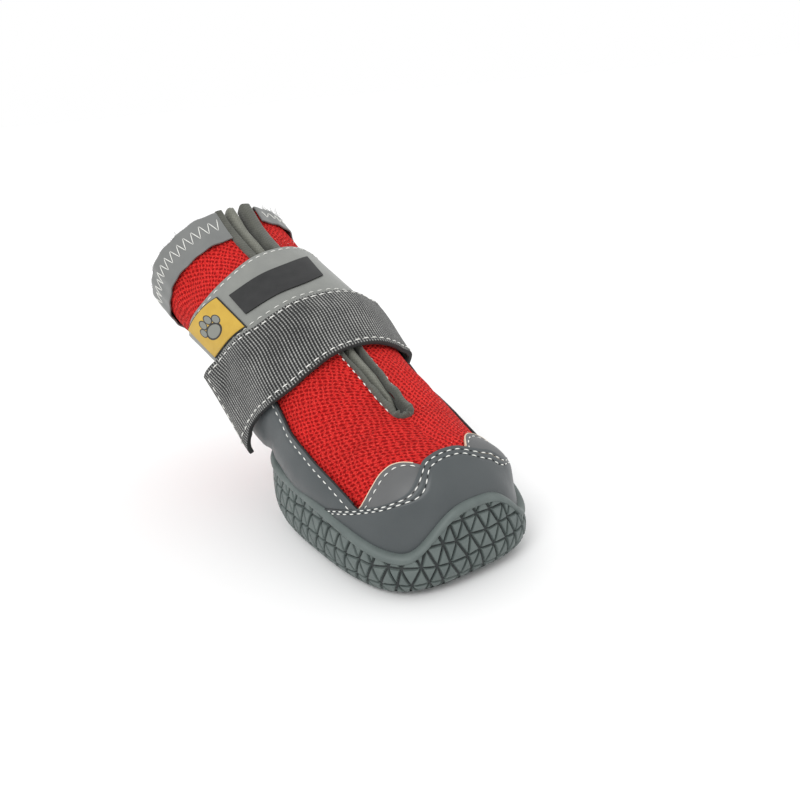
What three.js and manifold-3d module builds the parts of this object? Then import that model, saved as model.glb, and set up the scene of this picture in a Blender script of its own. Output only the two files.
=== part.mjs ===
// Dog boot: a soft mesh boot on a moulded rubber cup sole, for either paw.
// Millimetres. +X points to the toe, +Y to the boot's left, +Z up. The origin lies on the floor, under the
// sole, on its long axis.
import * as THREE from "three";
import { mergeVertices } from "three/addons/utils/BufferGeometryUtils.js";
import Module from "manifold-3d";

const wasm = await Module();
wasm.setup();

// Sole outline and height
const toeReach = 45.4; // origin to the front of the sole
const heelReach = 40.5; // origin to the back of the sole
const soleBreadth = 59; // breadth of the outline before it narrows to the heel
const heelNarrowing = 0.1; // share of the breadth lost at the heel
const toeRoundness = 3.1; // superellipse exponent of the front half
const heelRoundness = 2.8; // superellipse exponent of the back half
const toeSpring = 1.6; // how far the sole lifts off the floor at the toe
const heelSpring = 1.8; // how far it lifts at the heel
const bottomEdgeRound = 5; // how far the side draws in at the floor
const bottomEdgeHeight = 9.6; // height at which the side is widest
const toeRimHeight = 24.4; // top of the rim at the toe bumper
const cornerRimHeight = 13; // its dips beside the bumper
const sideRimHeight = 21; // its height beside the ankle
const heelRimHeight = 22.3; // its height round the heel
const rimInset = 0.6; // how far the side leans in up to the rim
const beadRadius = 1.5; // rounded lip of the rim
const soleFloor = 3.6; // rubber under the insole
const grooveDepth = 0.8; // relief of the triangle blocks on the side
const grooveWidth = 1.1; // groove between two blocks
const treadDepth = 1.2; // grooves of the underside

// Upper, overlays and the gap between two pieces
const wall = 2; // mesh with its lining
const leather = 1.2; // synthetic leather overlays
const tape = 1.1; // collar tape and throat binding
const strapThickness = 1.6;
const insoleThickness = 2.5;
const gap = 0.3;
const legHeight = 89.5; // front of the collar above the floor
const legLean = 76.5; // how far the front of the collar lies behind the origin
const lastInset = 6.7; // how far inside the sole's outline the ball of the upper keeps on each side
const lastBreadth = soleBreadth - 2 * lastInset; // breadth of the upper across the ball
const shaftBreadth = 49; // breadth of the slack shaft
const collarLean = 2.2; // how far the slack collar has sunk to the boot's right

// The rubber cup draws the foot of the upper in, and the upper swells over the rim.
const tuckTop = 27; // height at which the upper starts to draw in
const tuckHeelRise = 4.5; // how much higher it starts at the heel, where the rim is high
const tuckHeelWay = 22; // how far behind the origin it has risen so
const tuckDepth = 12; // over how much height it does so
const cupInset = 5.2; // how far inside the sole's outline it then stays

// Sections of the upper from toe to collar. Each lies in the plane through its crest point and its keel
// point. crestX and keelX are shares of toeReach in front of the origin and of legLean behind it, crestZ and
// keelZ shares of legHeight, half a share of half the breadth (lastBreadth in the foot, shaftBreadth in the
// shaft), widest the share of the way from crest to keel where it is widest, crown and keel the roundness
// above and below that.
const columns = ["crestX", "crestZ", "keelX", "keelZ", "half", "widest", "crown", "keel", "inShaft"];
const sections = [
  [0.885, 0.268, 0.835, -0.02, 0.3, 0.3, 3, 6, 0],
  [0.868, 0.315, 0.82, -0.02, 0.52, 0.36, 2.8, 6, 0],
  [0.82, 0.35, 0.785, -0.02, 0.75, 0.43, 2.5, 6, 0],
  [0.72, 0.382, 0.705, -0.02, 0.93, 0.52, 2.2, 6, 0],
  [0.55, 0.407, 0.54, -0.02, 1, 0.56, 2.1, 6, 0],
  [0.36, 0.437, 0.3, -0.02, 1.07, 0.56, 2.2, 6, 0],
  [0.1, 0.495, -0.05, -0.02, 1.12, 0.54, 2.3, 6, 0.1],
  [-0.112, 0.573, -0.26, -0.02, 1.06, 0.52, 2.4, 6, 0.5],
  [-0.3, 0.675, -0.39, 0, 1, 0.5, 2.6, 7, 0.9],
  [-0.45, 0.742, -0.455, 0.13, 0.97, 0.48, 2.5, 6, 1],
  [-0.6, 0.797, -0.5, 0.285, 0.94, 0.48, 2.25, 3.6, 1],
  [-0.76, 0.857, -0.74, 0.37, 0.98, 0.5, 2.15, 2.4, 1],
  [-0.89, 0.924, -1.07, 0.455, 1.02, 0.5, 2.05, 2.1, 1],
  [-1, 0.998, -1.34, 0.565, 1.08, 0.5, 2, 2, 1],
].map((row) => Object.fromEntries(columns.map((name, i) => [name, row[i]])));
const lastSection = sections.length - 1;

const clamp = THREE.MathUtils.clamp;
const ease = (x) => 0.5 - 0.5 * Math.cos(Math.PI * clamp(x, 0, 1));
const mix = THREE.MathUtils.lerp;

// One column of the table at a place between two sections, on a smooth curve through its values.
function column(name, place) {
  const at = clamp(place, 0, lastSection);
  const low = Math.min(Math.floor(at), lastSection - 1);
  const share = at - low;
  const value = (i) => sections[clamp(i, 0, lastSection)][name];
  const before = low > 0 ? value(low - 1) : 2 * value(0) - value(1);
  const after = low + 2 <= lastSection ? value(low + 2) : 2 * value(lastSection) - value(lastSection - 1);
  const [a, b] = [value(low), value(low + 1)];
  const [slopeA, slopeB] = [(b - before) / 2, (after - a) / 2];
  const cube = (2 * (a - b) + slopeA + slopeB) * share ** 3;
  const square = (3 * (b - a) - 2 * slopeA - slopeB) * share ** 2;
  return cube + square + slopeA * share + a;
}

// Breadth of the sole's outline before its corners are rounded off.
const outlineBreadth = (x) => soleBreadth * (1 - (heelNarrowing * (toeReach - x)) / (toeReach + heelReach));

const alongFoot = (share) => (share > 0 ? share * toeReach : share * legLean);

function sectionAt(place) {
  const breadth = mix(lastBreadth, shaftBreadth, clamp(column("inShaft", place), 0, 1));
  return {
    crest: new THREE.Vector3(alongFoot(column("crestX", place)), 0, column("crestZ", place) * legHeight),
    keel: new THREE.Vector3(alongFoot(column("keelX", place)), 0, column("keelZ", place) * legHeight),
    half: (column("half", place) * breadth) / 2,
    widest: column("widest", place),
    crown: column("crown", place),
    heel: column("keel", place),
  };
}

const power = (value, roundness) => Math.sign(value) * Math.abs(value) ** (2 / roundness);

// A point of the upper's outer face: angle 0 is the crest, a quarter turn the boot's left side.
function facePoint(place, angle) {
  const s = sectionAt(place);
  const middle = s.crest.clone().lerp(s.keel, s.widest);
  const front = Math.cos(angle) >= 0;
  const spread = (Math.abs(Math.cos(angle)) ** s.heel + Math.abs(Math.sin(angle)) ** s.heel) ** (-1 / s.heel);
  const upOrDown = front ? Math.abs(power(Math.cos(angle), s.crown)) : -Math.cos(angle) * spread;
  const sideways = front ? power(Math.sin(angle), s.crown) : Math.sin(angle) * spread;
  const point = middle.clone().lerp(front ? s.crest : s.keel, upOrDown);
  point.y = s.half * sideways - collarLean * ease((place - 9) / (lastSection - 9));
  return intoCup(point);
}

// Draws a point sideways into the cup of the sole, the more the lower it lies.
function intoCup(point) {
  const [reach, roundness] = point.x > 0 ? [toeReach, toeRoundness] : [heelReach, heelRoundness];
  const along = Math.abs(point.x) / (reach - cupInset);
  const across = Math.abs(point.y) / (outlineBreadth(point.x) / 2 - cupInset);
  const beyond = along ** roundness + across ** roundness;
  const drawn = beyond > 1 ? beyond ** (-1 / roundness) : 1;
  const top = tuckTop + tuckHeelRise * ease(-point.x / tuckHeelWay);
  const share = mix(1, drawn, ease((top - point.z) / tuckDepth));
  return new THREE.Vector3(point.x * share, point.y * share, point.z);
}

// The same point moved outwards along the face's normal.
function upperPoint(place, angle, out = 0) {
  const step = 0.02;
  const [low, high] = [Math.max(place - step, 0), Math.min(place + step, lastSection)];
  const lengthwise = facePoint(high, angle).sub(facePoint(low, angle));
  const round = facePoint(place, angle + step).sub(facePoint(place, angle - step));
  const normal = round.cross(lengthwise).normalize();
  return facePoint(place, angle).addScaledVector(normal, out);
}

// The angle at which a section is a given distance to the left of the crest line, near the crest.
function angleAt(place, left) {
  const s = sectionAt(place);
  return Math.asin(clamp(Math.sign(left) * Math.abs(left / s.half) ** (s.crown / 2), -1, 1));
}

const crestPoint = (place, left, out) => upperPoint(place, angleAt(place, left), out);

// Triangles that close one ring of points, in the ring's own order.
function lidTriangles(ring) {
  const normal = new THREE.Vector3();
  ring.forEach((p, i) => normal.add(p.clone().cross(ring[(i + 1) % ring.length])));
  const across = ring[1].clone().sub(ring[0]).projectOnPlane(normal.normalize()).normalize();
  const up = normal.clone().cross(across);
  return THREE.ShapeUtils.triangulateShape(ring.map((p) => new THREE.Vector2(p.dot(across), p.dot(up))), []);
}

// A closed solid from rings of points, all of one length, with a lid at each end. The two halves of a ring
// are split into triangles as mirror images.
function solidFromRings(rings) {
  const count = rings[0].length;
  const faces = [];
  for (let r = 0; r + 1 < rings.length; r++) {
    for (let i = 0; i < count; i++) {
      const j = (i + 1) % count;
      const [a, b, c, d] = [r * count + i, r * count + j, (r + 1) * count + j, (r + 1) * count + i];
      if (2 * i < count) faces.push(a, b, c, a, c, d);
      else faces.push(b, c, d, b, d, a);
    }
  }
  const last = (rings.length - 1) * count;
  lidTriangles(rings[0]).forEach(([a, b, c]) => faces.push(a, c, b));
  lidTriangles(rings[rings.length - 1]).forEach(([a, b, c]) => faces.push(last + a, last + b, last + c));
  return solidFromFaces(rings.flat(), faces);
}

function solidFromFaces(points, faces) {
  const geometry = new THREE.BufferGeometry();
  geometry.setAttribute("position", new THREE.Float32BufferAttribute(points.flatMap((p) => p.toArray()), 3));
  geometry.setIndex(faces);
  const made = solidOf(geometry);
  if (made.volume() > 0) return made;
  for (let i = 0; i < faces.length; i += 3) [faces[i], faces[i + 1]] = [faces[i + 1], faces[i]];
  geometry.setIndex(faces);
  return solidOf(geometry);
}

function solidOf(geometry) {
  const bare = geometry.clone();
  bare.deleteAttribute("normal");
  bare.deleteAttribute("uv");
  const merged = mergeVertices(bare, 1e-4);
  const mesh = new wasm.Mesh({
    numProp: 3,
    vertProperties: new Float32Array(merged.attributes.position.array),
    triVerts: new Uint32Array(merged.index.array),
  });
  return new wasm.Manifold(mesh);
}

const range = (count, last) => Array.from({ length: count }, (_, i) => (i / (count - 1)) * last);

// The upper's form at a distance from its outer face, as a solid that reaches past the collar by extra.
const ringSteps = 30;
const ringStretches = [
  { from: 0, to: 2, steps: 4 },
  { from: 2, to: 7, steps: 8 },
  { from: 7, to: 10.6, steps: 9 },
  { from: 10.6, to: lastSection, steps: 4 },
];
const ringPlaces = ringStretches.flatMap(({ from, to, steps }) =>
  range(steps + 1, to - from)
    .slice(0, to === lastSection ? steps + 1 : steps)
    .map((rise) => from + rise),
);
function formSolid(out, extra = 0) {
  const turn = (i) => (2 * Math.PI * i) / ringSteps;
  const rings = ringPlaces.map((place) =>
    Array.from({ length: ringSteps }, (_, i) => upperPoint(place, turn(i), out)),
  );
  if (extra) {
    const last = rings[rings.length - 1];
    const before = rings[rings.length - 2];
    rings.push(last.map((p, i) => p.clone().add(p.clone().sub(before[i]).setLength(extra))));
  }
  return solidFromRings(rings);
}

// A plain block between two corners.
function block(low, high) {
  const geometry = new THREE.BoxGeometry(high[0] - low[0], high[1] - low[1], high[2] - low[2]);
  geometry.translate((low[0] + high[0]) / 2, (low[1] + high[1]) / 2, (low[2] + high[2]) / 2);
  return solidOf(geometry);
}

const far = 300;
const above = (height) => block([-far, -far, height], [far, far, far]);

// Sole outline at a turn from the toe, with its outward direction.
function outlinePoint(turn) {
  const front = Math.cos(turn) >= 0;
  const roundness = front ? toeRoundness : heelRoundness;
  const x = (front ? toeReach : heelReach) * power(Math.cos(turn), roundness);
  return new THREE.Vector3(x, (outlineBreadth(x) / 2) * power(Math.sin(turn), roundness), 0);
}

function outlineNormal(turn) {
  const step = 0.02;
  const along = outlinePoint(turn + step).sub(outlinePoint(turn - step));
  return new THREE.Vector3(along.y, -along.x, 0).normalize();
}

// Turns at equal steps along the outline, drawn closer together round the toe.
const outlineWalk = range(2001, 2 * Math.PI).map((turn) => outlinePoint(turn));
const walked = outlineWalk.map(() => 0);
outlineWalk.forEach((p, i) => {
  if (i) walked[i] = walked[i - 1] + p.distanceTo(outlineWalk[i - 1]);
});
const toeCrowding = 0.25; // share by which the steps shorten at the toe
function turnAtStep(step, steps) {
  const share = step / steps;
  const warped = share - (toeCrowding * Math.sin(2 * Math.PI * share)) / (2 * Math.PI);
  const wanted = ((warped % 1) + 1) % 1 * walked[walked.length - 1];
  const after = Math.max(walked.findIndex((length) => length >= wanted), 1);
  const between = (wanted - walked[after - 1]) / (walked[after] - walked[after - 1]);
  const turn = ((after - 1 + between) / (walked.length - 1)) * 2 * Math.PI;
  return turn > Math.PI ? turn - 2 * Math.PI : turn;
}

const bumperTurn = 0.64; // turn from the toe to the dip of the rim
const ankleTurn = 1.81; // turn to the highest part of the side
function rimHeight(turn) {
  const away = Math.abs(turn);
  if (away < bumperTurn) {
    return mix(toeRimHeight, cornerRimHeight, ease((away / bumperTurn) ** 0.9));
  }
  if (away < ankleTurn) {
    return mix(cornerRimHeight, sideRimHeight, ease((away - bumperTurn) / (ankleTurn - bumperTurn)));
  }
  return mix(sideRimHeight, heelRimHeight, ease((away - ankleTurn) / (Math.PI - ankleTurn)));
}

const flatToe = 0.55; // share of toeReach up to which the sole is flat
const flatHeel = 0.7; // share of heelReach up to which it is flat
const flatSpot = 0.58; // share of the floor outline inside which no point lifts off the floor
const flatMiddleSide = 6.5; // the flat spot's triangles meet this far off the axis, clear of the origin
function soleLift(x) {
  const toe = clamp((x / toeReach - flatToe) / (1 - flatToe), 0, 1);
  const heel = clamp((-x / heelReach - flatHeel) / (1 - flatHeel), 0, 1);
  return toeSpring * toe ** 2 + heelSpring * heel ** 2;
}

// A point of the sole's side: climb 0 at the floor edge, 1 at the foot of the rim's bead.
const bulgeClimb = 0.5; // climb at which the side is widest
function sidePoint(turn, climb, out = 0) {
  const edge = outlinePoint(turn);
  const low = soleLift(edge.x);
  const top = rimHeight(turn) - 2 * beadRadius;
  const bulge = Math.min(low + bottomEdgeHeight, mix(low, top, 0.75));
  const below = climb < bulgeClimb;
  const swing = ((climb / bulgeClimb) * Math.PI) / 2;
  const risen = (climb - bulgeClimb) / (1 - bulgeClimb);
  const inset = below ? bottomEdgeRound * (1 - Math.sin(swing)) : rimInset * risen ** 2;
  const height = below ? mix(low, bulge, 1 - Math.cos(swing)) : mix(bulge, top, risen);
  const slope = below ? Math.PI / 2 - swing : 0;
  return edge
    .addScaledVector(outlineNormal(turn), out * Math.cos(slope) - inset)
    .setZ(height - out * Math.sin(slope));
}

// Cup sole: floor, bulged side of triangle blocks and beaded rim, hollowed by the dressed upper.
const blockColumns = 40; // triangle blocks round one row
const blockRows = 3;
const blockFoot = 0.1; // climb of the lowest row's foot
const blockTop = 0.97; // climb of the highest row's top
const ledge = 6; // how far the rim's top reaches inwards before the upper hollows it
function outsole() {
  const turns = (shift) =>
    Array.from({ length: blockColumns }, (_, i) => turnAtStep(i + shift, blockColumns));
  const points = [];
  const faces = [];
  const ring = (list) => {
    points.push(...list);
    return points.length - list.length;
  };
  const strip = (low, high) => {
    for (let i = 0; i < blockColumns; i++) {
      const j = (i + 1) % blockColumns;
      faces.push(low + i, low + j, high + j, low + i, high + j, high + i);
    }
  };
  const lid = (start, turnedDown, aside) => {
    const members = points.slice(start, start + blockColumns);
    const centre = members.reduce((sum, p) => sum.add(p), new THREE.Vector3()).divideScalar(blockColumns);
    points.push(centre.setY(aside));
    for (let i = 0; i < blockColumns; i++) {
      const [a, b] = [start + i, start + ((i + 1) % blockColumns)];
      faces.push(points.length - 1, ...(turnedDown ? [b, a] : [a, b]));
    }
  };
  const floorRing = ring(turns(0).map((turn) => sidePoint(turn, 0)));
  const flatRing = ring(
    turns(0).map((turn) => {
      const at = sidePoint(turn, 0).multiplyScalar(flatSpot);
      return at.setZ(soleLift(at.x));
    }),
  );
  strip(flatRing, floorRing);
  lid(flatRing, true, flatMiddleSide);
  const climbs = range(blockRows + 1, 1).map((share) => mix(blockFoot, blockTop, share));
  const grooves = climbs.map((climb, row) =>
    ring(turns((row % 2) / 2).map((turn) => sidePoint(turn, climb, -grooveDepth))),
  );
  strip(floorRing, grooves[0]);
  // Each block stands on the three grooves that bound it.
  const blockOn = (corners, places) => {
    const base = corners.map((index) => points[index]);
    const sides = [base[1].distanceTo(base[2]), base[2].distanceTo(base[0]), base[0].distanceTo(base[1])];
    const around = sides[0] + sides[1] + sides[2];
    const area = base[1].clone().sub(base[0]).cross(base[2].clone().sub(base[0])).length() / 2;
    const shrink = clamp((grooveWidth / 2) * (around / (2 * area)), 0.05, 0.6);
    const unwrapped = places.map((place) => {
      const away = place.turn - places[0].turn;
      return { turn: place.turn - 2 * Math.PI * Math.round(away / (2 * Math.PI)), climb: place.climb };
    });
    const middle = ["turn", "climb"].map((key) =>
      unwrapped.reduce((sum, place, i) => sum + (place[key] * sides[i]) / around, 0),
    );
    const top = unwrapped.map((place) =>
      sidePoint(mix(place.turn, middle[0], shrink), mix(place.climb, middle[1], shrink), 0),
    );
    const first = ring(top);
    faces.push(first, first + 1, first + 2);
    for (let i = 0; i < 3; i++) {
      const j = (i + 1) % 3;
      faces.push(corners[i], corners[j], first + j, corners[i], first + j, first + i);
    }
  };
  for (let row = 0; row < blockRows; row++) {
    const [lowShift, highShift] = [(row % 2) / 2, ((row + 1) % 2) / 2];
    for (let i = 0; i < blockColumns; i++) {
      const j = (i + 1) % blockColumns;
      const place = (level, index) => ({
        turn: turnAtStep(index + (level ? highShift : lowShift), blockColumns),
        climb: climbs[row + level],
      });
      const [low, high] = [grooves[row], grooves[row + 1]];
      if (lowShift < highShift) {
        blockOn([low + i, low + j, high + i], [place(0, i), place(0, j), place(1, i)]);
        blockOn([low + j, high + j, high + i], [place(0, j), place(1, j), place(1, i)]);
      } else {
        blockOn([low + i, high + j, high + i], [place(0, i), place(1, j), place(1, i)]);
        blockOn([low + i, low + j, high + j], [place(0, i), place(0, j), place(1, j)]);
      }
    }
  }
  const rimTurns = turns((blockRows % 2) / 2);
  let last = grooves[blockRows];
  const beadTurns = [-80, -35, 10, 50, 90];
  beadTurns.forEach((degrees) => {
    const swing = THREE.MathUtils.degToRad(degrees);
    const up = beadRadius * (1 + Math.sin(swing));
    const next = ring(
      rimTurns.map((turn) => sidePoint(turn, 1, beadRadius * (Math.cos(swing) - 0.4)).add(upBy(up))),
    );
    strip(last, next);
    last = next;
  });
  const inner = ring(rimTurns.map((turn) => sidePoint(turn, 1, -ledge).add(upBy(2 * beadRadius))));
  strip(last, inner);
  lid(inner, false, 0);
  const body = solidFromFaces(points, faces);
  const hollow = formSolid(dressingGap + leather + 1.4 * gap).intersect(above(soleFloor));
  return body.subtract(hollow).subtract(treadGrooves());
}

const upBy = (height) => new THREE.Vector3(0, 0, height);

// Grooves across the underside, bent like chevrons, clear of the flat spot under the origin.
const treadGrooveWidth = 2.2;
const treadGroovePlaces = [-0.78, -0.55, -0.32, 0.3, 0.52, 0.74]; // shares of the reach of toe or heel
const chevronDepth = 5; // how far each groove's middle lies ahead of its ends
function treadGrooves() {
  const half = soleBreadth / 2 + 2;
  const cuts = treadGroovePlaces.map((share) => {
    const x = share * (share > 0 ? toeReach : heelReach);
    const corners = [
      [x - chevronDepth, -half],
      [x, 0],
      [x - chevronDepth, half],
    ];
    const rings = corners.map(([at, y]) => {
      const lift = soleLift(at);
      const [low, high] = [-2, lift + treadDepth];
      return [
        new THREE.Vector3(at - treadGrooveWidth / 2, y, low),
        new THREE.Vector3(at + treadGrooveWidth / 2, y, low),
        new THREE.Vector3(at + treadGrooveWidth / 2, y, high),
        new THREE.Vector3(at - treadGrooveWidth / 2, y, high),
      ];
    });
    return solidFromRings(rings);
  });
  return cuts.reduce((all, cut) => all.add(cut));
}

function insole() {
  const low = soleFloor + gap;
  const toeStop = alongFoot(sections[0].keelX) - wall - 2 * gap;
  const slab = block([-far, -far, low], [toeStop, far, low + insoleThickness]);
  return formSolid(-wall - 1.6 * gap).intersect(slab);
}

// Millimetres along the upper for one step of place, at a place and angle.
function pace(place, angle) {
  const [low, high] = [Math.max(place - 0.1, 0), Math.min(place + 0.1, lastSection)];
  return facePoint(low, angle).distanceTo(facePoint(high, angle)) / (high - low);
}

// The throat slit, from the collar down the vamp to its rounded end.
const slitEnd = 5.05; // place of its end in the table of sections
const slitWidthLow = 4.6; // between the cut edges of the mesh, at its end
const slitWidthTop = 9; // the same at the collar
const bindingWidth = 1.6; // how far the binding reaches over the mesh
const bindingThickness = 0.8;
function slitHalf(place) {
  const radius = slitWidthLow / 2;
  const along = Math.max((place - slitEnd) * pace(slitEnd, 0), 0.1);
  if (along < radius) return Math.sqrt(radius ** 2 - (radius - along) ** 2);
  return mix(slitWidthLow, slitWidthTop, (place - slitEnd) / (lastSection - slitEnd)) / 2;
}

const slitPlaces = () => {
  const round = slitWidthLow / 2 / pace(slitEnd, 0);
  const straight = range(13, lastSection - slitEnd - round);
  return [0, 0.12, 0.4].map((share) => slitEnd + share * round).concat(
    straight.map((rise) => slitEnd + round + rise),
  );
};

// The direction in which the collar's mouth faces, at an angle round it.
const mouthward = (angle) =>
  facePoint(lastSection, angle).sub(facePoint(lastSection - 0.2, angle)).normalize();

function slitSolid() {
  const deep = wall + 2;
  const ring = (place, beyond) => {
    const half = slitHalf(place);
    const corners = [
      [-half, -deep],
      [half, -deep],
      [half, deep],
      [-half, deep],
    ];
    return corners.map(([left, out]) => crestPoint(place, left, out).addScaledVector(mouthward(0), beyond));
  };
  return solidFromRings([...slitPlaces().map((place) => ring(place, 0)), ring(lastSection, 5)]);
}

function upper() {
  const shell = formSolid(0).subtract(formSolid(-wall, 6));
  return shell.intersect(above(soleFloor + gap)).subtract(slitSolid());
}

// Fabric binding folded over the slit's cut edge, down one side, round the end and up the other.
function throatBinding() {
  const radius = slitWidthLow / 2;
  const straight = slitPlaces().slice(3).reverse();
  const start = straight[straight.length - 1];
  const stops = straight.map((place) => ({ place, left: slitHalf(place), swing: 0 }));
  [30, 60, 90, 120, 150].forEach((degrees) => {
    const swing = THREE.MathUtils.degToRad(degrees);
    const ahead = (radius * Math.sin(swing)) / pace(start, 0);
    stops.push({ place: start - ahead, left: radius * Math.cos(swing), swing });
  });
  [...straight].reverse().forEach((place) => stops.push({ place, left: -slitHalf(place), swing: Math.PI }));
  const t = bindingThickness;
  const over = 1.4 * gap;
  const under = -wall - over;
  const profile = [
    [bindingWidth, over],
    [bindingWidth, over + t],
    [-gap - t, over + t],
    [-gap - t, under - t],
    [bindingWidth, under - t],
    [bindingWidth, under],
    [-gap, under],
    [-gap, over],
  ];
  const rings = stops.map(({ place, left, swing }) =>
    profile.map(([across, out]) => {
      const ahead = (across * Math.sin(swing)) / pace(place, 0);
      return crestPoint(place - ahead, left + across * Math.cos(swing), out);
    }),
  );
  return solidFromRings(rings);
}

// Folded gusset that closes the slit from inside, with a pleat that stands up in the slit.
const gussetThickness = 1;
const gussetMargin = 2.3; // how far it reaches past the slit's edge
const pleatRise = 3; // height of the pleat between the slit's edges
const gussetAbove = 2; // how far it stands out of the collar
function gusset() {
  const bed = -wall - bindingThickness - 3 * gap;
  const places = range(12, lastSection - slitEnd + 0.35).map((rise) => slitEnd - 0.35 + rise);
  const ring = (place, beyond) => {
    const wide = slitHalf(Math.max(place, slitEnd + 0.4)) + gussetMargin;
    const rise = pleatRise * ease((place - slitEnd - 0.5) / 0.8);
    const foot = Math.max(slitHalf(place) - bindingThickness - 2 * gap, 0.9);
    const fold = [
      [-wide, 0],
      [-foot, -0.3],
      [0, rise],
      [foot, -0.3],
      [wide, 0],
    ];
    const top = fold.map(([left, up]) => crestPoint(place, left, bed + up));
    const bottom = fold.map(([left, up]) => crestPoint(place, left, bed + up - gussetThickness));
    return [...top, ...bottom.reverse()].map((p) => p.addScaledVector(mouthward(0), beyond));
  };
  return solidFromRings([...places.map((place) => ring(place, 0)), ring(lastSection, gussetAbove)]);
}

// Reflective tape folded over the collar, from one side of the slit round to the other.
const collarHeight = 12;
const collarInside = 6;
const bandGap = 0.5; // it lies a little off the mesh
function collarBand() {
  const open = angleAt(lastSection, slitWidthTop / 2 + bindingWidth + 2 * gap);
  const outer = bandGap + tape;
  const inner = -wall - bandGap;
  const profile = [
    [-collarHeight, bandGap],
    [-collarHeight, outer],
    [-collarHeight / 2, outer],
    [gap + tape, outer],
    [gap + tape, inner - tape],
    [-collarInside, inner - tape],
    [-collarInside, inner],
    [gap, inner],
    [gap, bandGap],
    [-collarHeight / 2, bandGap],
  ];
  const rings = range(31, 1).map((share) => {
    const angle = mix(open, 2 * Math.PI - open, share);
    return profile.map(([up, out]) => {
      const place = lastSection + Math.min(up, 0) / pace(lastSection, angle);
      return upperPoint(place, angle, out).addScaledVector(mouthward(angle), Math.max(up, 0));
    });
  });
  return solidFromRings(rings);
}

// The layer of synthetic leather over the upper, from which the overlays are cut.
const dressingGap = 0.45;
const dressingForm = formSolid(dressingGap + leather).subtract(formSolid(dressingGap)).subtract(formSolid(gap));
const dressing = dressingForm.intersect(above(soleFloor + 2 * gap));

// A prism through the whole boot over an outline given in two of its directions.
function prism(outline, direction) {
  const at = (a, b, along) =>
    ({
      x: new THREE.Vector3(along, a, b),
      y: new THREE.Vector3(a, along, b),
      z: new THREE.Vector3(a, b, along),
    })[direction];
  const shape = new THREE.Shape(outline.map(([a, b]) => new THREE.Vector2(a, b)));
  const flat = shape.extractPoints(1).shape;
  if (THREE.ShapeUtils.isClockWise(flat)) flat.reverse();
  const rings = [-far, far].map((along) => flat.map((p) => at(p.x, p.y, along)));
  const faces = [];
  const triangles = THREE.ShapeUtils.triangulateShape(flat, []);
  const count = flat.length;
  triangles.forEach(([a, b, c]) => faces.push(a, c, b, count + a, count + b, count + c));
  for (let i = 0; i < count; i++) {
    const j = (i + 1) % count;
    faces.push(i, j, count + j, i, count + j, count + i);
  }
  return solidFromFaces(rings.flat(), faces);
}

// Toe cap: a cloud edge with one centre lobe, running back into a wing along each side.
const capLobeHalf = 7; // half the breadth of the centre lobe
const capLobeSide = -2; // how far its middle lies to the boot's left of the axis
const capLobeRise = 2.4; // its height over the notches beside it
const capNotchHeight = 33.2; // height of the notches above the floor
const capCornerHeight = 23.4; // height of the edge at the corner of the toe
const capCornerBreadth = 21; // half breadth there
const capWingEnd = 6; // how far in front of the origin the wings end
const capWingDrop = 0.27; // fall of the wing's edge for each millimetre back
const capCornerPlace = 31.2; // how far in front of the origin the wing's edge starts to fall
function capEdge(y, grow) {
  const away = Math.abs(y - capLobeSide) / capLobeHalf;
  if (away < 1) return capNotchHeight + capLobeRise * Math.sqrt(1 - away ** 2) + grow;
  const notch = Math.abs(capLobeSide + Math.sign(y) * capLobeHalf);
  const share = clamp((Math.abs(y) - notch) / (capCornerBreadth - notch), 0, 1);
  return mix(capNotchHeight, capCornerHeight, ease(share ** 0.85)) + grow;
}

function capRegion(grow = 0) {
  const breadth = 40;
  const lobe = [-1, -0.93, -0.71, -0.36, 0, 0.36, 0.71, 0.93, 1].map((share) => capLobeSide + share * capLobeHalf);
  const slopes = [1, 0.8, 0.6, 0.4, 0.2];
  const right = slopes.map((share) => mix(lobe[0], -capCornerBreadth, share));
  const left = slopes.map((share) => mix(lobe[lobe.length - 1], capCornerBreadth, share)).reverse();
  const edge = [-breadth, ...right, ...lobe, ...left, breadth].map((y) => [y, capEdge(y, grow)]);
  const front = prism([[-breadth, 0], ...edge, [breadth, 0]], "x");
  const wingFall = (capCornerPlace - capWingEnd) * capWingDrop;
  const side = [
    [capWingEnd - grow, 0],
    [capWingEnd - grow, capCornerHeight - wingFall + grow],
    [capCornerPlace, capCornerHeight + grow],
    [capCornerPlace + 1.5, legHeight],
    [toeReach + 5, legHeight],
    [toeReach + 5, 0],
  ];
  return front.intersect(prism(side, "y"));
}

const toeCap = () => dressing.intersect(capRegion());

// Side petals that show behind the cap's edge.
const petalPlace = 35; // how far in front of the origin each petal is centred
const petalSide = 18.6; // and how far to the side
const petalRadius = 9;
function toeLobe(side) {
  const outline = Array.from({ length: 28 }, (_, i) => {
    const turn = (2 * Math.PI * i) / 28;
    const x = petalPlace + petalRadius * Math.cos(turn);
    return [x, side * (petalSide + petalRadius * Math.sin(turn))];
  });
  return dressing.intersect(prism(outline, "z")).subtract(capRegion(2 * gap)).intersect(above(capCornerHeight - 3));
}

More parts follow.
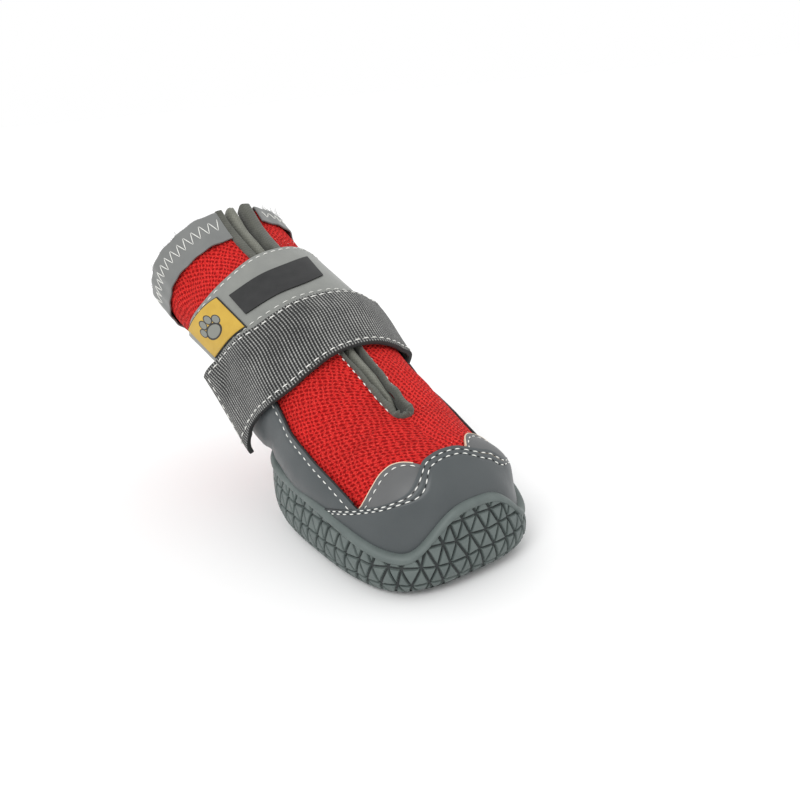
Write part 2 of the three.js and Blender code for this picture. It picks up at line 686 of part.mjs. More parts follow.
// Counter: runs back from under the cap's wings, up over the ankle and round the heel. Its outline from the
// side has its points as shares of toeReach or legLean, and of legHeight.
const counterOutline = [
  [0.6, 0.03],
  [0.6, 0.222],
  [0.4, 0.276],
  [0.235, 0.313],
  [0.035, 0.352],
  [-0.125, 0.403],
  [-0.19, 0.451],
  [-0.25, 0.487],
  [-0.32, 0.51],
  [-0.42, 0.49],
  [-0.55, 0.43],
  [-0.66, 0.36],
  [-0.75, 0.28],
  [-0.75, 0.03],
];
function counter() {
  const outline = counterOutline.map(([along, up]) => [alongFoot(along), up * legHeight]);
  const petals = [-1, 1].map((side) => {
    const edge = petalPlace - petalRadius - gap;
    return block([edge, side * petalSide - 12, 0], [toeReach + 5, side * petalSide + 12, legHeight]);
  });
  const region = prism(outline, "y").subtract(capRegion(gap)).subtract(petals[0]).subtract(petals[1]);
  return dressing.intersect(region);
}

// Both straps follow charted edges: the place of each edge at an angle round the shaft, in degrees.
const webbingLow = [
  [-180, 10.3],
  [-150, 10.1],
  [-120, 9.05],
  [-90, 8.05],
  [-60, 7.3],
  [-30, 7.08],
  [0, 7.12],
  [30, 7.15],
  [60, 7.45],
  [90, 8.15],
  [120, 9.35],
  [150, 10.1],
  [180, 10.3],
];
const strapJoint = [
  [-180, 11.25],
  [-150, 11.1],
  [-120, 10.75],
  [-90, 10.15],
  [-60, 9.15],
  [-30, 8.62],
  [0, 8.55],
  [30, 8.65],
  [60, 9.15],
  [90, 10.1],
  [120, 10.75],
  [150, 11.1],
  [180, 11.25],
];
const reflectiveTop = [
  [-180, 12.15],
  [-150, 12.0],
  [-120, 11.8],
  [-90, 11.5],
  [-60, 11.02],
  [-30, 10.76],
  [0, 10.87],
  [30, 11.1],
  [60, 11.42],
  [90, 11.7],
  [120, 11.9],
  [150, 12.05],
  [180, 12.15],
];

function charted(chart, degrees) {
  const after = Math.max(chart.findIndex(([at]) => at >= degrees), 1);
  const [[a, low], [b, high]] = [chart[after - 1], chart[after]];
  return mix(low, high, (degrees - a) / (b - a));
}

const strapSlack = 0.2; // how much further off they lie than a snug piece
const heelSlack = 0.9; // and the webbing where it turns under the back of the shaft

// How far out the straps lie: over the binding in front and, low down, over the counter at the sides.
function strapBed(place, degrees, overCounter) {
  const left = Math.abs(facePoint(place, THREE.MathUtils.degToRad(degrees)).y - facePoint(place, 0).y);
  const ahead = Math.abs(degrees) < 90 ? 1 : 0;
  const half = slitHalf(place) + bindingWidth;
  const binding = (bindingThickness + gap) * ahead * (1 - ease((left - half - 2) / 4));
  const heelRise = heelSlack * ease((Math.abs(degrees) - 90) / 40);
  const leatherRise = overCounter ? (leather + gap) * ease((Math.abs(degrees) - 40) / 22) + heelRise : 0;
  return gap + strapSlack + Math.max(binding, leatherRise);
}

const webbingEnd = -112; // angle of the webbing's free end, in degrees
const webbingLift = 4.5; // how far that end stands off the shaft
const reflectiveEnd = -108; // angle of the reflective strap's free end
const strapRoot = 174; // angle at the back where both straps are sewn on
const strapSpace = 0.5; // clear space between the two straps

// A band round the shaft between two charted edges.
function band(low, high, from, to, bed, thickness, steps) {
  const rings = range(steps, 1).map((share) => {
    const degrees = mix(from, to, share);
    const angle = THREE.MathUtils.degToRad(degrees);
    const [placeLow, placeHigh] = [low(degrees), high(degrees)];
    const rows = [0, 1 / 3, 2 / 3, 1].map((across) => mix(placeLow, placeHigh, across));
    const at = (place, out) => upperPoint(place, angle, bed(place, degrees) + out);
    return [...rows.map((place) => at(place, thickness)), ...rows.reverse().map((place) => at(place, 0))];
  });
  return solidFromRings(rings);
}

const strapGapPlaces = (degrees) =>
  strapSpace / pace(charted(strapJoint, degrees), THREE.MathUtils.degToRad(degrees));
const jointBelow = (degrees) => charted(strapJoint, degrees) - strapGapPlaces(degrees) / 2;
const jointAbove = (degrees) => charted(strapJoint, degrees) + strapGapPlaces(degrees) / 2;
const webbingBed = (place, degrees) =>
  strapBed(place, degrees, true) + webbingLift * ease((-78 - degrees) / (-78 - webbingEnd));
const reflectiveBed = (place, degrees) => strapBed(place, degrees, false);

const webbingStrap = () =>
  band((at) => charted(webbingLow, at), jointBelow, webbingEnd, strapRoot, webbingBed, strapThickness, 41);

const reflectiveStrap = () =>
  band(jointAbove, (at) => charted(reflectiveTop, at), reflectiveEnd, strapRoot, reflectiveBed, tape, 41);

// Plates sewn on the reflective strap, between two angles and two shares of its width.
const plateThickness = 0.6;
const namePlate = { from: -48, to: 19, low: 0.3, high: 0.74 };
const badge = { from: -99, to: -55, low: 0.13, high: 0.87 };
function strapPlate({ from, to, low, high }) {
  const across = (share) => (degrees) => mix(jointAbove(degrees), charted(reflectiveTop, degrees), share);
  const bed = (place, degrees) => reflectiveBed(place, degrees) + tape + gap;
  return band(across(low), across(high), from, to, bed, plateThickness, 14);
}

function meshOf(name, solid, colour, roughness) {
  const data = solid.getMesh();
  const geometry = new THREE.BufferGeometry();
  const positions = [];
  for (let i = 0; i < data.numVert; i++) {
    positions.push(...data.vertProperties.slice(i * data.numProp, i * data.numProp + 3));
  }
  geometry.setAttribute("position", new THREE.Float32BufferAttribute(positions, 3));
  geometry.setIndex([...data.triVerts]);
  geometry.computeVertexNormals();
  const material = new THREE.MeshStandardMaterial({ color: colour, roughness, metalness: 0 });
  const mesh = new THREE.Mesh(geometry, material);
  mesh.name = name;
  return mesh;
}

const rubberColour = "#666e6d";
const meshColour = "#cf1f27";
const foamColour = "#3a3c3d";
const leatherColour = "#63666a";
const petalColour = "#77787a";
const tapeColour = "#85867f";
const bindingColour = "#7a7a70";
const webbingColour = "#6b6c6a";
const plateColour = "#26282a";
const badgeColour = "#e2b736";

const boot = new THREE.Group();
boot.add(
  meshOf("outsole", outsole(), rubberColour, 0.6),
  meshOf("insole", insole(), foamColour, 0.9),
  meshOf("upper", upper(), meshColour, 0.85),
  meshOf("toe_cap", toeCap(), leatherColour, 0.5),
  meshOf("toe_lobe_right", toeLobe(-1), petalColour, 0.6),
  meshOf("toe_lobe_left", toeLobe(1), petalColour, 0.6),
  meshOf("counter", counter(), leatherColour, 0.5),
  meshOf("throat_binding", throatBinding(), bindingColour, 0.8),
  meshOf("gusset", gusset(), bindingColour, 0.8),
  meshOf("collar_band", collarBand(), tapeColour, 0.5),
  meshOf("webbing_strap", webbingStrap(), webbingColour, 0.9),
  meshOf("reflective_strap", reflectiveStrap(), tapeColour, 0.45),
  meshOf("name_plate", strapPlate(namePlate), plateColour, 0.6),
  meshOf("badge", strapPlate(badge), badgeColour, 0.6),
);

export default boot;
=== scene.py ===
# Looks of the dog boot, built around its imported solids. Lengths are millimetres in the part's frame: +X to
# the toe, +Y to the boot's left, +Z up. A place on the upper is counted in sections from the toe, and its
# angle from the crest toward the boot's left.
import math

import bmesh
import bpy
import numpy as np
from mathutils import Matrix, Vector


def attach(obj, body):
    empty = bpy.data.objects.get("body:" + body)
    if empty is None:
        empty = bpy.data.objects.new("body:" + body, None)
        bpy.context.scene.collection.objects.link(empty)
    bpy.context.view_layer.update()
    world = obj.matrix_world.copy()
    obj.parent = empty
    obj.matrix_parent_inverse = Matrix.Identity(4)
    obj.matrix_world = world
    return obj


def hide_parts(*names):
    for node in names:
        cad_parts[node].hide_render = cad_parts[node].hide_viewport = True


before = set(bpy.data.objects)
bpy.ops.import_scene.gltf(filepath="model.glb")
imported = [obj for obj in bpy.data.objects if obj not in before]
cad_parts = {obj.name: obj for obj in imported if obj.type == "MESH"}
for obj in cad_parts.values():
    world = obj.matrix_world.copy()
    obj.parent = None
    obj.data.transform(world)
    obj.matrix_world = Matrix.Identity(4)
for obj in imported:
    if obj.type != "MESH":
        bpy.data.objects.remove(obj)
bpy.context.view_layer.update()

MM = 0.001
IMAGE_SIDE = 800  # pixels of the photograph

# Sizes of the last and the sole, the same as in the solids
TOE_REACH = 45.4
HEEL_REACH = 40.5
SOLE_BREADTH = 59
HEEL_NARROWING = 0.1
TOE_ROUNDNESS = 3.1
HEEL_ROUNDNESS = 2.8
LEG_HEIGHT = 89.5
LEG_LEAN = 76.5
LAST_BREADTH = 45.6
SHAFT_BREADTH = 49
COLLAR_LEAN = 2.2
TUCK_TOP = 27
TUCK_DEPTH = 12
TUCK_HEEL_RISE = 4.5
TUCK_HEEL_WAY = 22
CUP_INSET = 5.2
WALL = 2
LEAN_START = 9  # section from which the leg leans to its collar

# Sections of the upper from toe to collar: its crest and its keel as shares of the reach and of the leg's
# height, half its breadth as a share, how far down from the crest it is widest, the powers that round it
# above and below that, and how far it counts as shaft
SECTION_COLUMNS = ("crest_x", "crest_z", "keel_x", "keel_z", "half", "widest", "crown", "keel", "in_shaft")
SECTIONS = dict(zip(SECTION_COLUMNS, np.array([
    (0.885, 0.268, 0.835, -0.02, 0.3, 0.3, 3, 6, 0),
    (0.868, 0.315, 0.82, -0.02, 0.52, 0.36, 2.8, 6, 0),
    (0.82, 0.35, 0.785, -0.02, 0.75, 0.43, 2.5, 6, 0),
    (0.72, 0.382, 0.705, -0.02, 0.93, 0.52, 2.2, 6, 0),
    (0.55, 0.407, 0.54, -0.02, 1, 0.56, 2.1, 6, 0),
    (0.36, 0.437, 0.3, -0.02, 1.07, 0.56, 2.2, 6, 0),
    (0.1, 0.495, -0.05, -0.02, 1.12, 0.54, 2.3, 6, 0.1),
    (-0.112, 0.573, -0.26, -0.02, 1.06, 0.52, 2.4, 6, 0.5),
    (-0.3, 0.675, -0.39, 0, 1, 0.5, 2.6, 7, 0.9),
    (-0.45, 0.742, -0.455, 0.13, 0.97, 0.48, 2.5, 6, 1),
    (-0.6, 0.797, -0.5, 0.285, 0.94, 0.48, 2.25, 3.6, 1),
    (-0.76, 0.857, -0.74, 0.37, 0.98, 0.5, 2.15, 2.4, 1),
    (-0.89, 0.924, -1.07, 0.455, 1.02, 0.5, 2.05, 2.1, 1),
    (-1, 0.998, -1.34, 0.565, 1.08, 0.5, 2, 2, 1),
]).T))
LAST = len(SECTIONS["half"]) - 1


def ease(x):
    """Goes softly from 0 to 1."""
    return 0.5 - 0.5 * np.cos(np.pi * np.clip(x, 0, 1))


def mix(a, b, share):
    return a + (b - a) * share


def unit(vectors):
    return vectors / np.linalg.norm(vectors, axis=-1, keepdims=True)


def walked_along(path):
    """Length from the start of a path to each of its points."""
    return np.concatenate([[0], np.cumsum(np.linalg.norm(np.diff(path, axis=0), axis=-1))])


def smooth_step(a, b, rise_a, rise_b, t):
    """Goes from a to b for t from 0 to 1, with the given slope at each end."""
    cube = 2 * (a - b) + rise_a + rise_b
    square = 3 * (b - a) - 2 * rise_a - rise_b
    return cube * t**3 + square * t**2 + rise_a * t + a


def charted(chart, at):
    """Reads a chart of (position, value) rows on a smooth curve through them."""
    xs, ys = np.array(chart, float).T
    slopes = np.gradient(ys, xs)
    i = np.clip(np.searchsorted(xs, at, side="right") - 1, 0, len(xs) - 2)
    step = xs[i + 1] - xs[i]
    t = np.clip((at - xs[i]) / step, 0, 1)
    return smooth_step(ys[i], ys[i + 1], slopes[i] * step, slopes[i + 1] * step, t)


# Form of the upper
def column(name, place):
    """Reads one column of the sections at a place counted in sections from the toe."""
    values = SECTIONS[name]
    low = np.clip(np.floor(place), 0, LAST - 1).astype(int)
    share = np.clip(place, 0, LAST) - low
    padded = np.concatenate(([2 * values[0] - values[1]], values, [2 * values[-1] - values[-2]]))
    before, a, b, after = (padded[low + i] for i in range(4))
    return smooth_step(a, b, (b - before) / 2, (after - a) / 2, share)


def breadth_at(place):
    return mix(LAST_BREADTH, SHAFT_BREADTH, np.clip(column("in_shaft", place), 0, 1))


def along_foot(share):
    """Length ahead of the origin, as a share of the toe's reach or, behind it, of the leg's lean."""
    return np.where(share > 0, share * TOE_REACH, share * LEG_LEAN)


def face_point(place, angle):
    """A point of the upper's smooth outer face: angle 0 is the crest, a quarter turn the boot's left."""
    place, angle = np.broadcast_arrays(np.asarray(place, float), np.asarray(angle, float))
    s = {name: column(name, place) for name in SECTION_COLUMNS}
    crest_x, keel_x = along_foot(s["crest_x"]), along_foot(s["keel_x"])
    crest_z, keel_z = s["crest_z"] * LEG_HEIGHT, s["keel_z"] * LEG_HEIGHT
    cosine, sine = np.cos(angle), np.sin(angle)
    front = cosine >= 0
    spread = (np.abs(cosine) ** s["keel"] + np.abs(sine) ** s["keel"]) ** (-1 / s["keel"])
    up_or_down = np.where(front, np.abs(cosine) ** (2 / s["crown"]), np.abs(cosine) * spread)
    sideways = np.where(front, np.sign(sine) * np.abs(sine) ** (2 / s["crown"]), sine * spread)
    middle_x, middle_z = mix(crest_x, keel_x, s["widest"]), mix(crest_z, keel_z, s["widest"])
    x = mix(middle_x, np.where(front, crest_x, keel_x), up_or_down)
    z = mix(middle_z, np.where(front, crest_z, keel_z), up_or_down)
    lean = COLLAR_LEAN * ease((place - LEAN_START) / (LAST - LEAN_START))
    y = s["half"] * breadth_at(place) / 2 * sideways - lean
    tuck_top = TUCK_TOP + TUCK_HEEL_RISE * ease(-x / TUCK_HEEL_WAY)
    share = 1 + (cup_draw(x, y) - 1) * ease((tuck_top - z) / TUCK_DEPTH)
    return np.stack([x * share, y * share, z], -1)


def cup_draw(x, y):
    """Share by which a point is drawn in so that it stands inside the cup of the sole."""
    reach = np.where(x > 0, TOE_REACH, HEEL_REACH) - CUP_INSET
    roundness = np.where(x > 0, TOE_ROUNDNESS, HEEL_ROUNDNESS)
    beyond = (np.abs(x) / reach) ** roundness + (np.abs(y) / (sole_breadth(x) / 2 - CUP_INSET)) ** roundness
    return np.where(beyond > 1, np.maximum(beyond, 1) ** (-1 / roundness), 1)


def sole_breadth(x):
    return SOLE_BREADTH * (1 - HEEL_NARROWING * (TOE_REACH - x) / (TOE_REACH + HEEL_REACH))


# Soft folds of the upper: where each lies, its heading from along the boot to across it, its half length and
# half width in mm, and how far it rises or sinks
FOLD_COLUMNS = ("place", "degrees", "heading", "length", "width", "rise")
FOLDS = [
    (6.2, -38, 70, 12, 2.6, -0.7),
    (6.6, -20, 60, 9, 2.2, 0.4),
    (6.3, 30, 110, 10, 2.4, -0.5),
    (5.2, -58, 20, 10, 2.5, -0.5),
    (11.8, -70, 80, 12, 2.5, -0.7),
    (12.0, -40, 100, 9, 2.2, 0.4),
    (11.9, 60, 80, 12, 2.6, -0.8),
    (12.1, 120, 75, 12, 3.0, 0.9),
    (11.6, 160, 90, 13, 3.0, -0.9),
    (10.2, 165, 85, 14, 3.2, 1.0),
    (9.4, 130, 70, 10, 3.0, -1.0),
    (9.4, -130, 110, 10, 3.0, -1.0),
    (12.0, -120, 95, 12, 2.8, -0.8),
    (13.0, 72, 0, 11, 11, -4.2),
]
FOLD_FADE = 0.3  # how fast a fold fades away from its middle


def folds(place, angle):
    """How far the folds push the upper out at a place and angle."""
    step = 0.05
    centre = face_point(place, angle)
    total = np.zeros(centre.shape[:-1])
    for row in FOLDS:
        fold = dict(zip(FOLD_COLUMNS, row))
        at, spot = math.radians(fold["degrees"]), fold["place"]
        lengthwise = unit(face_point(spot + step, at) - face_point(spot - step, at))
        across = unit(face_point(spot, at + step) - face_point(spot, at - step))
        turn = math.radians(fold["heading"])
        along = math.cos(turn) * lengthwise + math.sin(turn) * across
        over = -math.sin(turn) * lengthwise + math.cos(turn) * across
        away = centre - face_point(spot, at)
        far = np.sum(away**2, -1) / fold["length"] ** 2
        spread = (away @ over) ** 2 / fold["width"] ** 2 + (away @ along) ** 2 / fold["length"] ** 2
        total += fold["rise"] * np.exp(-spread - FOLD_FADE * far)
    return total


def skin(place, angle, out=0.0):
    """A point of the folded upper, moved outwards along the face's normal."""
    step = 0.02
    place, angle = np.broadcast_arrays(np.asarray(place, float), np.asarray(angle, float))
    ahead, behind = np.minimum(place + step, LAST), np.maximum(place - step, 0)
    lengthwise = face_point(ahead, angle) - face_point(behind, angle)
    around = face_point(place, angle + step) - face_point(place, angle - step)
    normal = unit(np.cross(around, lengthwise))
    return face_point(place, angle) + normal * np.asarray(out + folds(place, angle))[..., None]


def pace(place, angle):
    """Millimetres along the upper for one step of place."""
    low, high = np.maximum(place - 0.1, 0), np.minimum(place + 0.1, LAST)
    return np.linalg.norm(face_point(high, angle) - face_point(low, angle), axis=-1) / (high - low)


def mouthward(angle):
    """Direction in which the upper ends at the collar."""
    step = 0.2
    return unit(face_point(LAST, angle) - face_point(LAST - step, angle))


def crest_angle(place, left):
    """Angle at which the upper lies some mm to the left of its crest."""
    share = np.clip(np.abs(left) / (column("half", place) * breadth_at(place) / 2), 0, 1)
    return np.arcsin(np.sign(left) * share ** (column("crown", place) / 2))


# Meshes
DOUBLES = 0.01  # mm within which two points are one
EDGE_ANGLE = 50  # degrees past which an edge is rounded


def laid(name, columns, rows, where, slot, replaces=(), materials=(), closed=False, drop=None):
    """A grid laid on a surface: where(u, v, lift) gives its points in mm, for u and v from 0 to 1."""
    bm = bmesh.new()
    bmesh.ops.create_grid(bm, x_segments=columns, y_segments=rows, size=0.5)
    u, v = np.meshgrid(np.linspace(0, 1, columns + 1), np.linspace(0, 1, rows + 1))
    points = where(u, v, 0.0)
    inside_out = faces_inwards(points, where(u, v, 1.0))
    lengths = cloth_lengths(points)
    layer = bm.loops.layers.uv.new("cloth")
    spot = {}
    for vert in bm.verts:
        i, j = round((vert.co.x + 0.5) * columns), round((vert.co.y + 0.5) * rows)
        spot[vert] = (j, i)
    for face in bm.faces:
        for loop in face.loops:
            loop[layer].uv = lengths[spot[loop.vert]]
    for vert, at in spot.items():
        vert.co = points[at] * MM
    if drop:
        lost = [vert for vert in bm.verts if drop(vert.co / MM)]
        bmesh.ops.delete(bm, geom=lost, context="VERTS")
    if closed:
        bmesh.ops.remove_doubles(bm, verts=bm.verts, dist=DOUBLES * MM)
    if inside_out:
        bmesh.ops.reverse_faces(bm, faces=bm.faces)
    return finished(name, bm, slot, replaces, materials)


def faces_inwards(points, lifted):
    """Whether a grid's faces look away from the side that it is lifted to."""
    j, i = points.shape[0] // 2, points.shape[1] // 2
    normal = np.cross(points[j, i + 1] - points[j, i], points[j + 1, i] - points[j, i])
    return normal @ (lifted[j, i] - points[j, i]) < 0


def cloth_lengths(points):
    """Lengths in mm along both ways of a grid, from its middle row and column."""
    across = np.linalg.norm(np.diff(points, axis=1), axis=-1)
    across = np.concatenate([np.zeros((len(points), 1)), np.cumsum(across, 1)], 1)
    across -= across[:, points.shape[1] // 2][:, None]
    up = np.linalg.norm(np.diff(points, axis=0), axis=-1)
    up = np.concatenate([np.zeros((1, points.shape[1])), np.cumsum(up, 0)], 0)
    up -= up[points.shape[0] // 2][None]
    return np.stack([across, up], -1)


def mesh_of(name, bm):
    mesh = bpy.data.meshes.new(name)
    bm.to_mesh(mesh)
    bm.free()
    return mesh


def placed(name, data):
    made = bpy.data.objects.new(name, data)
    bpy.context.scene.collection.objects.link(made)
    return made


def finished(name, bm, slot, replaces, materials):
    """Makes a mesh a piece on the boot's one body and hides the nodes that it stands for. Its slot is not
    used.
    """
    for face in bm.faces:
        face.smooth = True
    piece = placed(name, mesh_of(name, bm))
    for material in materials:
        piece.data.materials.append(material)
    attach(piece, "root")
    if replaces:
        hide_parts(*replaces)
    return piece


def thicken(piece, thickness, edge, inside=0, rim=0):
    """Gives a laid sheet its thickness inwards, with rounded edges."""
    solid = piece.modifiers.new("thickness", "SOLIDIFY")
    solid.thickness = thickness * MM
    solid.offset = -1
    solid.use_even_offset = False
    solid.material_offset = inside
    solid.material_offset_rim = rim
    if edge:
        bevel = piece.modifiers.new("soft edge", "BEVEL")
        bevel.width = edge * MM
        bevel.segments = 2
        bevel.limit_method = "ANGLE"
        bevel.angle_limit = math.radians(EDGE_ANGLE)


# Materials
def linear(code):
    """Linear colour of an sRGB hex value."""
    parts = [int(code[i:i + 2], 16) / 255 for i in (1, 3, 5)]
    return tuple(c / 12.92 if c <= 0.04045 else ((c + 0.055) / 1.055) ** 2.4 for c in parts) + (1,)


def node(tree, kind, inputs, output=0, **settings):
    """Adds a shader node with its settings and the values or links of its inputs, and gives an output."""
    made = tree.nodes.new("ShaderNode" + kind)
    for name, value in settings.items():
        setattr(made, name, value)
    for name, value in inputs.items() if isinstance(inputs, dict) else enumerate(inputs):
        if isinstance(value, bpy.types.NodeSocket):
            tree.links.new(value, made.inputs[name])
        else:
            made.inputs[name].default_value = value
    return made.outputs[output]


def new_material(name, roughness, **sockets):
    """A material with constants on its shader's own sockets."""
    material = bpy.data.materials.new(name)
    material.use_nodes = True
    shader = material.node_tree.nodes["Principled BSDF"]
    shader.inputs["Roughness"].default_value = roughness
    for key, value in sockets.items():
        shader.inputs[key.replace("_", " ")].default_value = value
    return material, material.node_tree, shader


def surfaced(shader, colour, height, depth, strength, rough=None):
    """Gives a shader its colour, a relief of a depth in mm and, where it varies, its roughness."""
    tree = shader.id_data
    relief = node(tree, "Bump", {"Height": height, "Distance": depth * MM, "Strength": strength})
    for name, socket in (("Base Color", colour), ("Normal", relief), ("Roughness", rough)):
        if socket:
            tree.links.new(socket, shader.inputs[name])


def cloth_axes(tree):
    """The cloth's own map, and lengths in mm along and across a laid sheet."""
    uv = node(tree, "UVMap", (), uv_map="cloth")
    split = node(tree, "SeparateXYZ", (uv,)).node
    return uv, split.outputs["X"], split.outputs["Y"]


def object_noise(tree, size, detail=2.0):
    """Soft noise fixed to the object, with spots of a size in mm."""
    at = node(tree, "TexCoord", (), "Object")
    scaled = node(tree, "Mapping", {"Vector": at, "Scale": (1 / (size * MM),) * 3})
    return node(tree, "TexNoise", {"Vector": scaled, "Scale": 1.0, "Detail": detail})


def wave(tree, length, pitch):
    """Cosine of a length in mm, one turn for each pitch."""
    turned = node(tree, "Math", (length, 2 * math.pi / pitch), operation="MULTIPLY")
    return node(tree, "Math", (turned,), operation="COSINE")


def crossed(tree, along, along_pitch, across, across_pitch):
    """Two waves multiplied: rows of spots, as threads that go over and under make them."""
    waves = wave(tree, along, along_pitch), wave(tree, across, across_pitch)
    return node(tree, "Math", waves, operation="MULTIPLY")


def air_mesh(name, deep, base, glint, cell_shade_colour, pitch):
    """Knitted polyester air mesh. The eye gets staggered rows of small cells, dark with painted shade,
    between round yarns, and pale flecks of painted highlight where a yarn catches the light. The cells are as
    coarse as they need to be to show."""
    yarn_pitch, cell_along, cell_across = 0.42, pitch * 1.25, pitch * 1.6
    material, tree, shader = new_material(name, 0.8, Specular_IOR_Level=0.12)
    uv, along, across = cloth_axes(tree)
    wobble = node(tree, "TexNoise", {"Vector": uv, "Scale": 0.35, "Detail": 1.0})
    moved = node(tree, "Math", (wobble, 1.8, along), operation="MULTIPLY_ADD")
    moved_up = node(tree, "Math", (wobble, -1.4, across), operation="MULTIPLY_ADD")
    cells = crossed(tree, moved, cell_along, moved_up, cell_across)
    slanted = node(tree, "Math", (moved, 0.8, moved_up), operation="MULTIPLY_ADD")
    yarn = wave(tree, slanted, yarn_pitch)
    uneven = node(tree, "TexNoise", {"Vector": uv, "Scale": 0.9, "Detail": 3.0})
    sunk_cells = node(tree, "Math", (cells, 0.5), operation="SUBTRACT")
    depth = node(tree, "Math", (uneven, sunk_cells), operation="ADD")
    hole = node(tree, "MapRange", {"Value": depth, "From Min": 0.0, "From Max": 0.7},
                interpolation_type="SMOOTHSTEP")
    patches = node(tree, "Math", (object_noise(tree, 9, 4.0), 2.0, -0.5), operation="MULTIPLY_ADD",
                   use_clamp=True)
    ground = node(tree, "Mix", {0: patches, 6: linear(deep), 7: linear(base)}, 2, data_type="RGBA")
    # The pale flecks and the crowns of the yarns are painted highlight
    flecks = node(tree, "TexNoise", {"Vector": uv, "Scale": 2.2, "Detail": 2.0})
    lit = node(tree, "Math", (flecks, 2.6, -1.0), operation="MULTIPLY_ADD")
    lit = node(tree, "Math", (yarn, 0.2, lit), operation="MULTIPLY_ADD", use_clamp=True)
    threads = node(tree, "Mix", {0: lit, 6: ground, 7: linear(glint)}, 2, data_type="RGBA")
    # The cells are coloured deep red: painted shade in the open cells of the mesh
    cell_shade_share = node(tree, "Math", (hole, 0.9), operation="MULTIPLY")
    colour = node(tree, "Mix", {0: cell_shade_share, 6: threads, 7: linear(cell_shade_colour)}, 2, data_type="RGBA")
    solid = node(tree, "Math", (1.0, hole), operation="SUBTRACT")
    height = node(tree, "Math", (yarn, 0.14, solid), operation="MULTIPLY_ADD")
    surfaced(shader, colour, height, depth=0.6, strength=0.9)
    return material


def leather(name, base, worn, roughness, grain=0.5):
    """Coated synthetic leather, calendered. The eye gets an even colour, a fine pebble and a soft sheen."""
    material, tree, shader = new_material(name, roughness, Specular_IOR_Level=0.45, Coat_Weight=0.06,
                                          Coat_Roughness=0.4)
    share = node(tree, "Math", (object_noise(tree, 9, 3.0), 0.6), operation="MULTIPLY")
    colour = node(tree, "Mix", {0: share, 6: linear(base), 7: linear(worn)}, 2, data_type="RGBA")
    rough = node(tree, "Math", (object_noise(tree, 3), 0.14, roughness - 0.07), operation="MULTIPLY_ADD")
    surfaced(shader, colour, object_noise(tree, grain), depth=0.06, strength=0.5, rough=rough)
    return material


def rubber(name, low, high):
    """Moulded rubber. The eye gets a dull, slightly dusty surface with a fine grain from the mould."""
    material, tree, shader = new_material(name, 0.55, Specular_IOR_Level=0.4)
    share = object_noise(tree, 6, 3.0)
    colour = node(tree, "Mix", {0: share, 6: linear(low), 7: linear(high)}, 2, data_type="RGBA")
    rough = node(tree, "Math", (object_noise(tree, 2.5), 0.2, 0.42), operation="MULTIPLY_ADD")
    surfaced(shader, colour, object_noise(tree, 0.45), depth=0.05, strength=0.6, rough=rough)
    return material


def tape(name, base, light, thread=0.32):
    """Reflective tape coated on a plain weave. The eye gets a flat grey with a faint grain and a low gloss.
    The weave is drawn as coarse as it needs to be to show."""
    material, tree, shader = new_material(name, 0.5, Specular_IOR_Level=0.5, Sheen_Weight=0.15)
    _, along, across = cloth_axes(tree)
    share = object_noise(tree, 5, 3.0)
    colour = node(tree, "Mix", {0: share, 6: linear(base), 7: linear(light)}, 2, data_type="RGBA")
    rough = node(tree, "Math", (object_noise(tree, 1.2), 0.2, 0.42), operation="MULTIPLY_ADD")
    weave = crossed(tree, along, thread * 2, across, thread * 2)
    height = node(tree, "Math", (weave, 0.3, object_noise(tree, 2.5)), operation="MULTIPLY_ADD")
    surfaced(shader, colour, height, depth=0.08, strength=0.5, rough=rough)
    return material


RIB_PITCH = 1.0
PICK_PITCH = 0.85
WEBBING_SHADES = ((0.1, "#0b0c0d"), (0.4, "#343535"), (0.62, "#6a6b69"), (0.87, "#b4b4b0"))


def webbing(name):
    """Woven polyester webbing. The eye gets fine ribs across the strap, flecked with light and dark yarns."""
    material, tree, shader = new_material(name, 0.75, Specular_IOR_Level=0.3, Sheen_Weight=0.15)
    uv, along, across = cloth_axes(tree)
    rib, pick = wave(tree, along, RIB_PITCH), wave(tree, across, PICK_PITCH)
    flecks = node(tree, "TexNoise", {"Vector": uv, "Scale": 1.7, "Detail": 2.0})
    light = node(tree, "Math", (object_noise(tree, 9), 0.3), operation="MULTIPLY")
    for pattern, share in ((flecks, 0.5), (pick, 0.1), (rib, 0.34)):
        light = node(tree, "Math", (pattern, share, light), operation="MULTIPLY_ADD")
    shades = node(tree, "ValToRGB", (light,)).node
    elements = shades.color_ramp.elements
    while len(elements) < len(WEBBING_SHADES):
        elements.new(0.5)
    for element, (at, code) in zip(elements, WEBBING_SHADES):
        element.position = at
        element.color = linear(code)
    height = node(tree, "Math", (pick, 0.35, rib), operation="MULTIPLY_ADD")
    surfaced(shader, shades.outputs["Color"], height, depth=0.16, strength=0.9)
    return material


def woven(name, base, light, thread=0.5):
    """Plain woven polyester. The eye gets a matt cloth with an over-and-under weave, drawn as coarse as it
    needs to be to show."""
    material, tree, shader = new_material(name, 0.8, Specular_IOR_Level=0.3, Sheen_Weight=0.25)
    _, along, across = cloth_axes(tree)
    weave = crossed(tree, along, thread * 2, across, thread * 2)
    share = node(tree, "Math", (weave, 0.2, object_noise(tree, 4, 3.0)), operation="MULTIPLY_ADD")
    colour = node(tree, "Mix", {0: share, 6: linear(base), 7: linear(light)}, 2, data_type="RGBA")
    height = node(tree, "Math", (weave, 0.6, object_noise(tree, 1.1)), operation="MULTIPLY_ADD")
    surfaced(shader, colour, height, depth=0.12, strength=0.7)
    return material


def plain(name, code, roughness, grain=0.4, depth=0.03):
    """A moulded, cut or spun surface. The eye gets one colour, barely mottled, with a fine grain."""
    material, tree, shader = new_material(name, roughness, Specular_IOR_Level=0.4)
    share = node(tree, "Math", (object_noise(tree, grain * 6, 3.0), 0.05), operation="MULTIPLY")
    colour = node(tree, "Mix", {0: share, 6: linear(code), 7: linear("#9a9a9a")}, 2, data_type="RGBA")
    surfaced(shader, colour, object_noise(tree, grain), depth, 0.6)
    return material


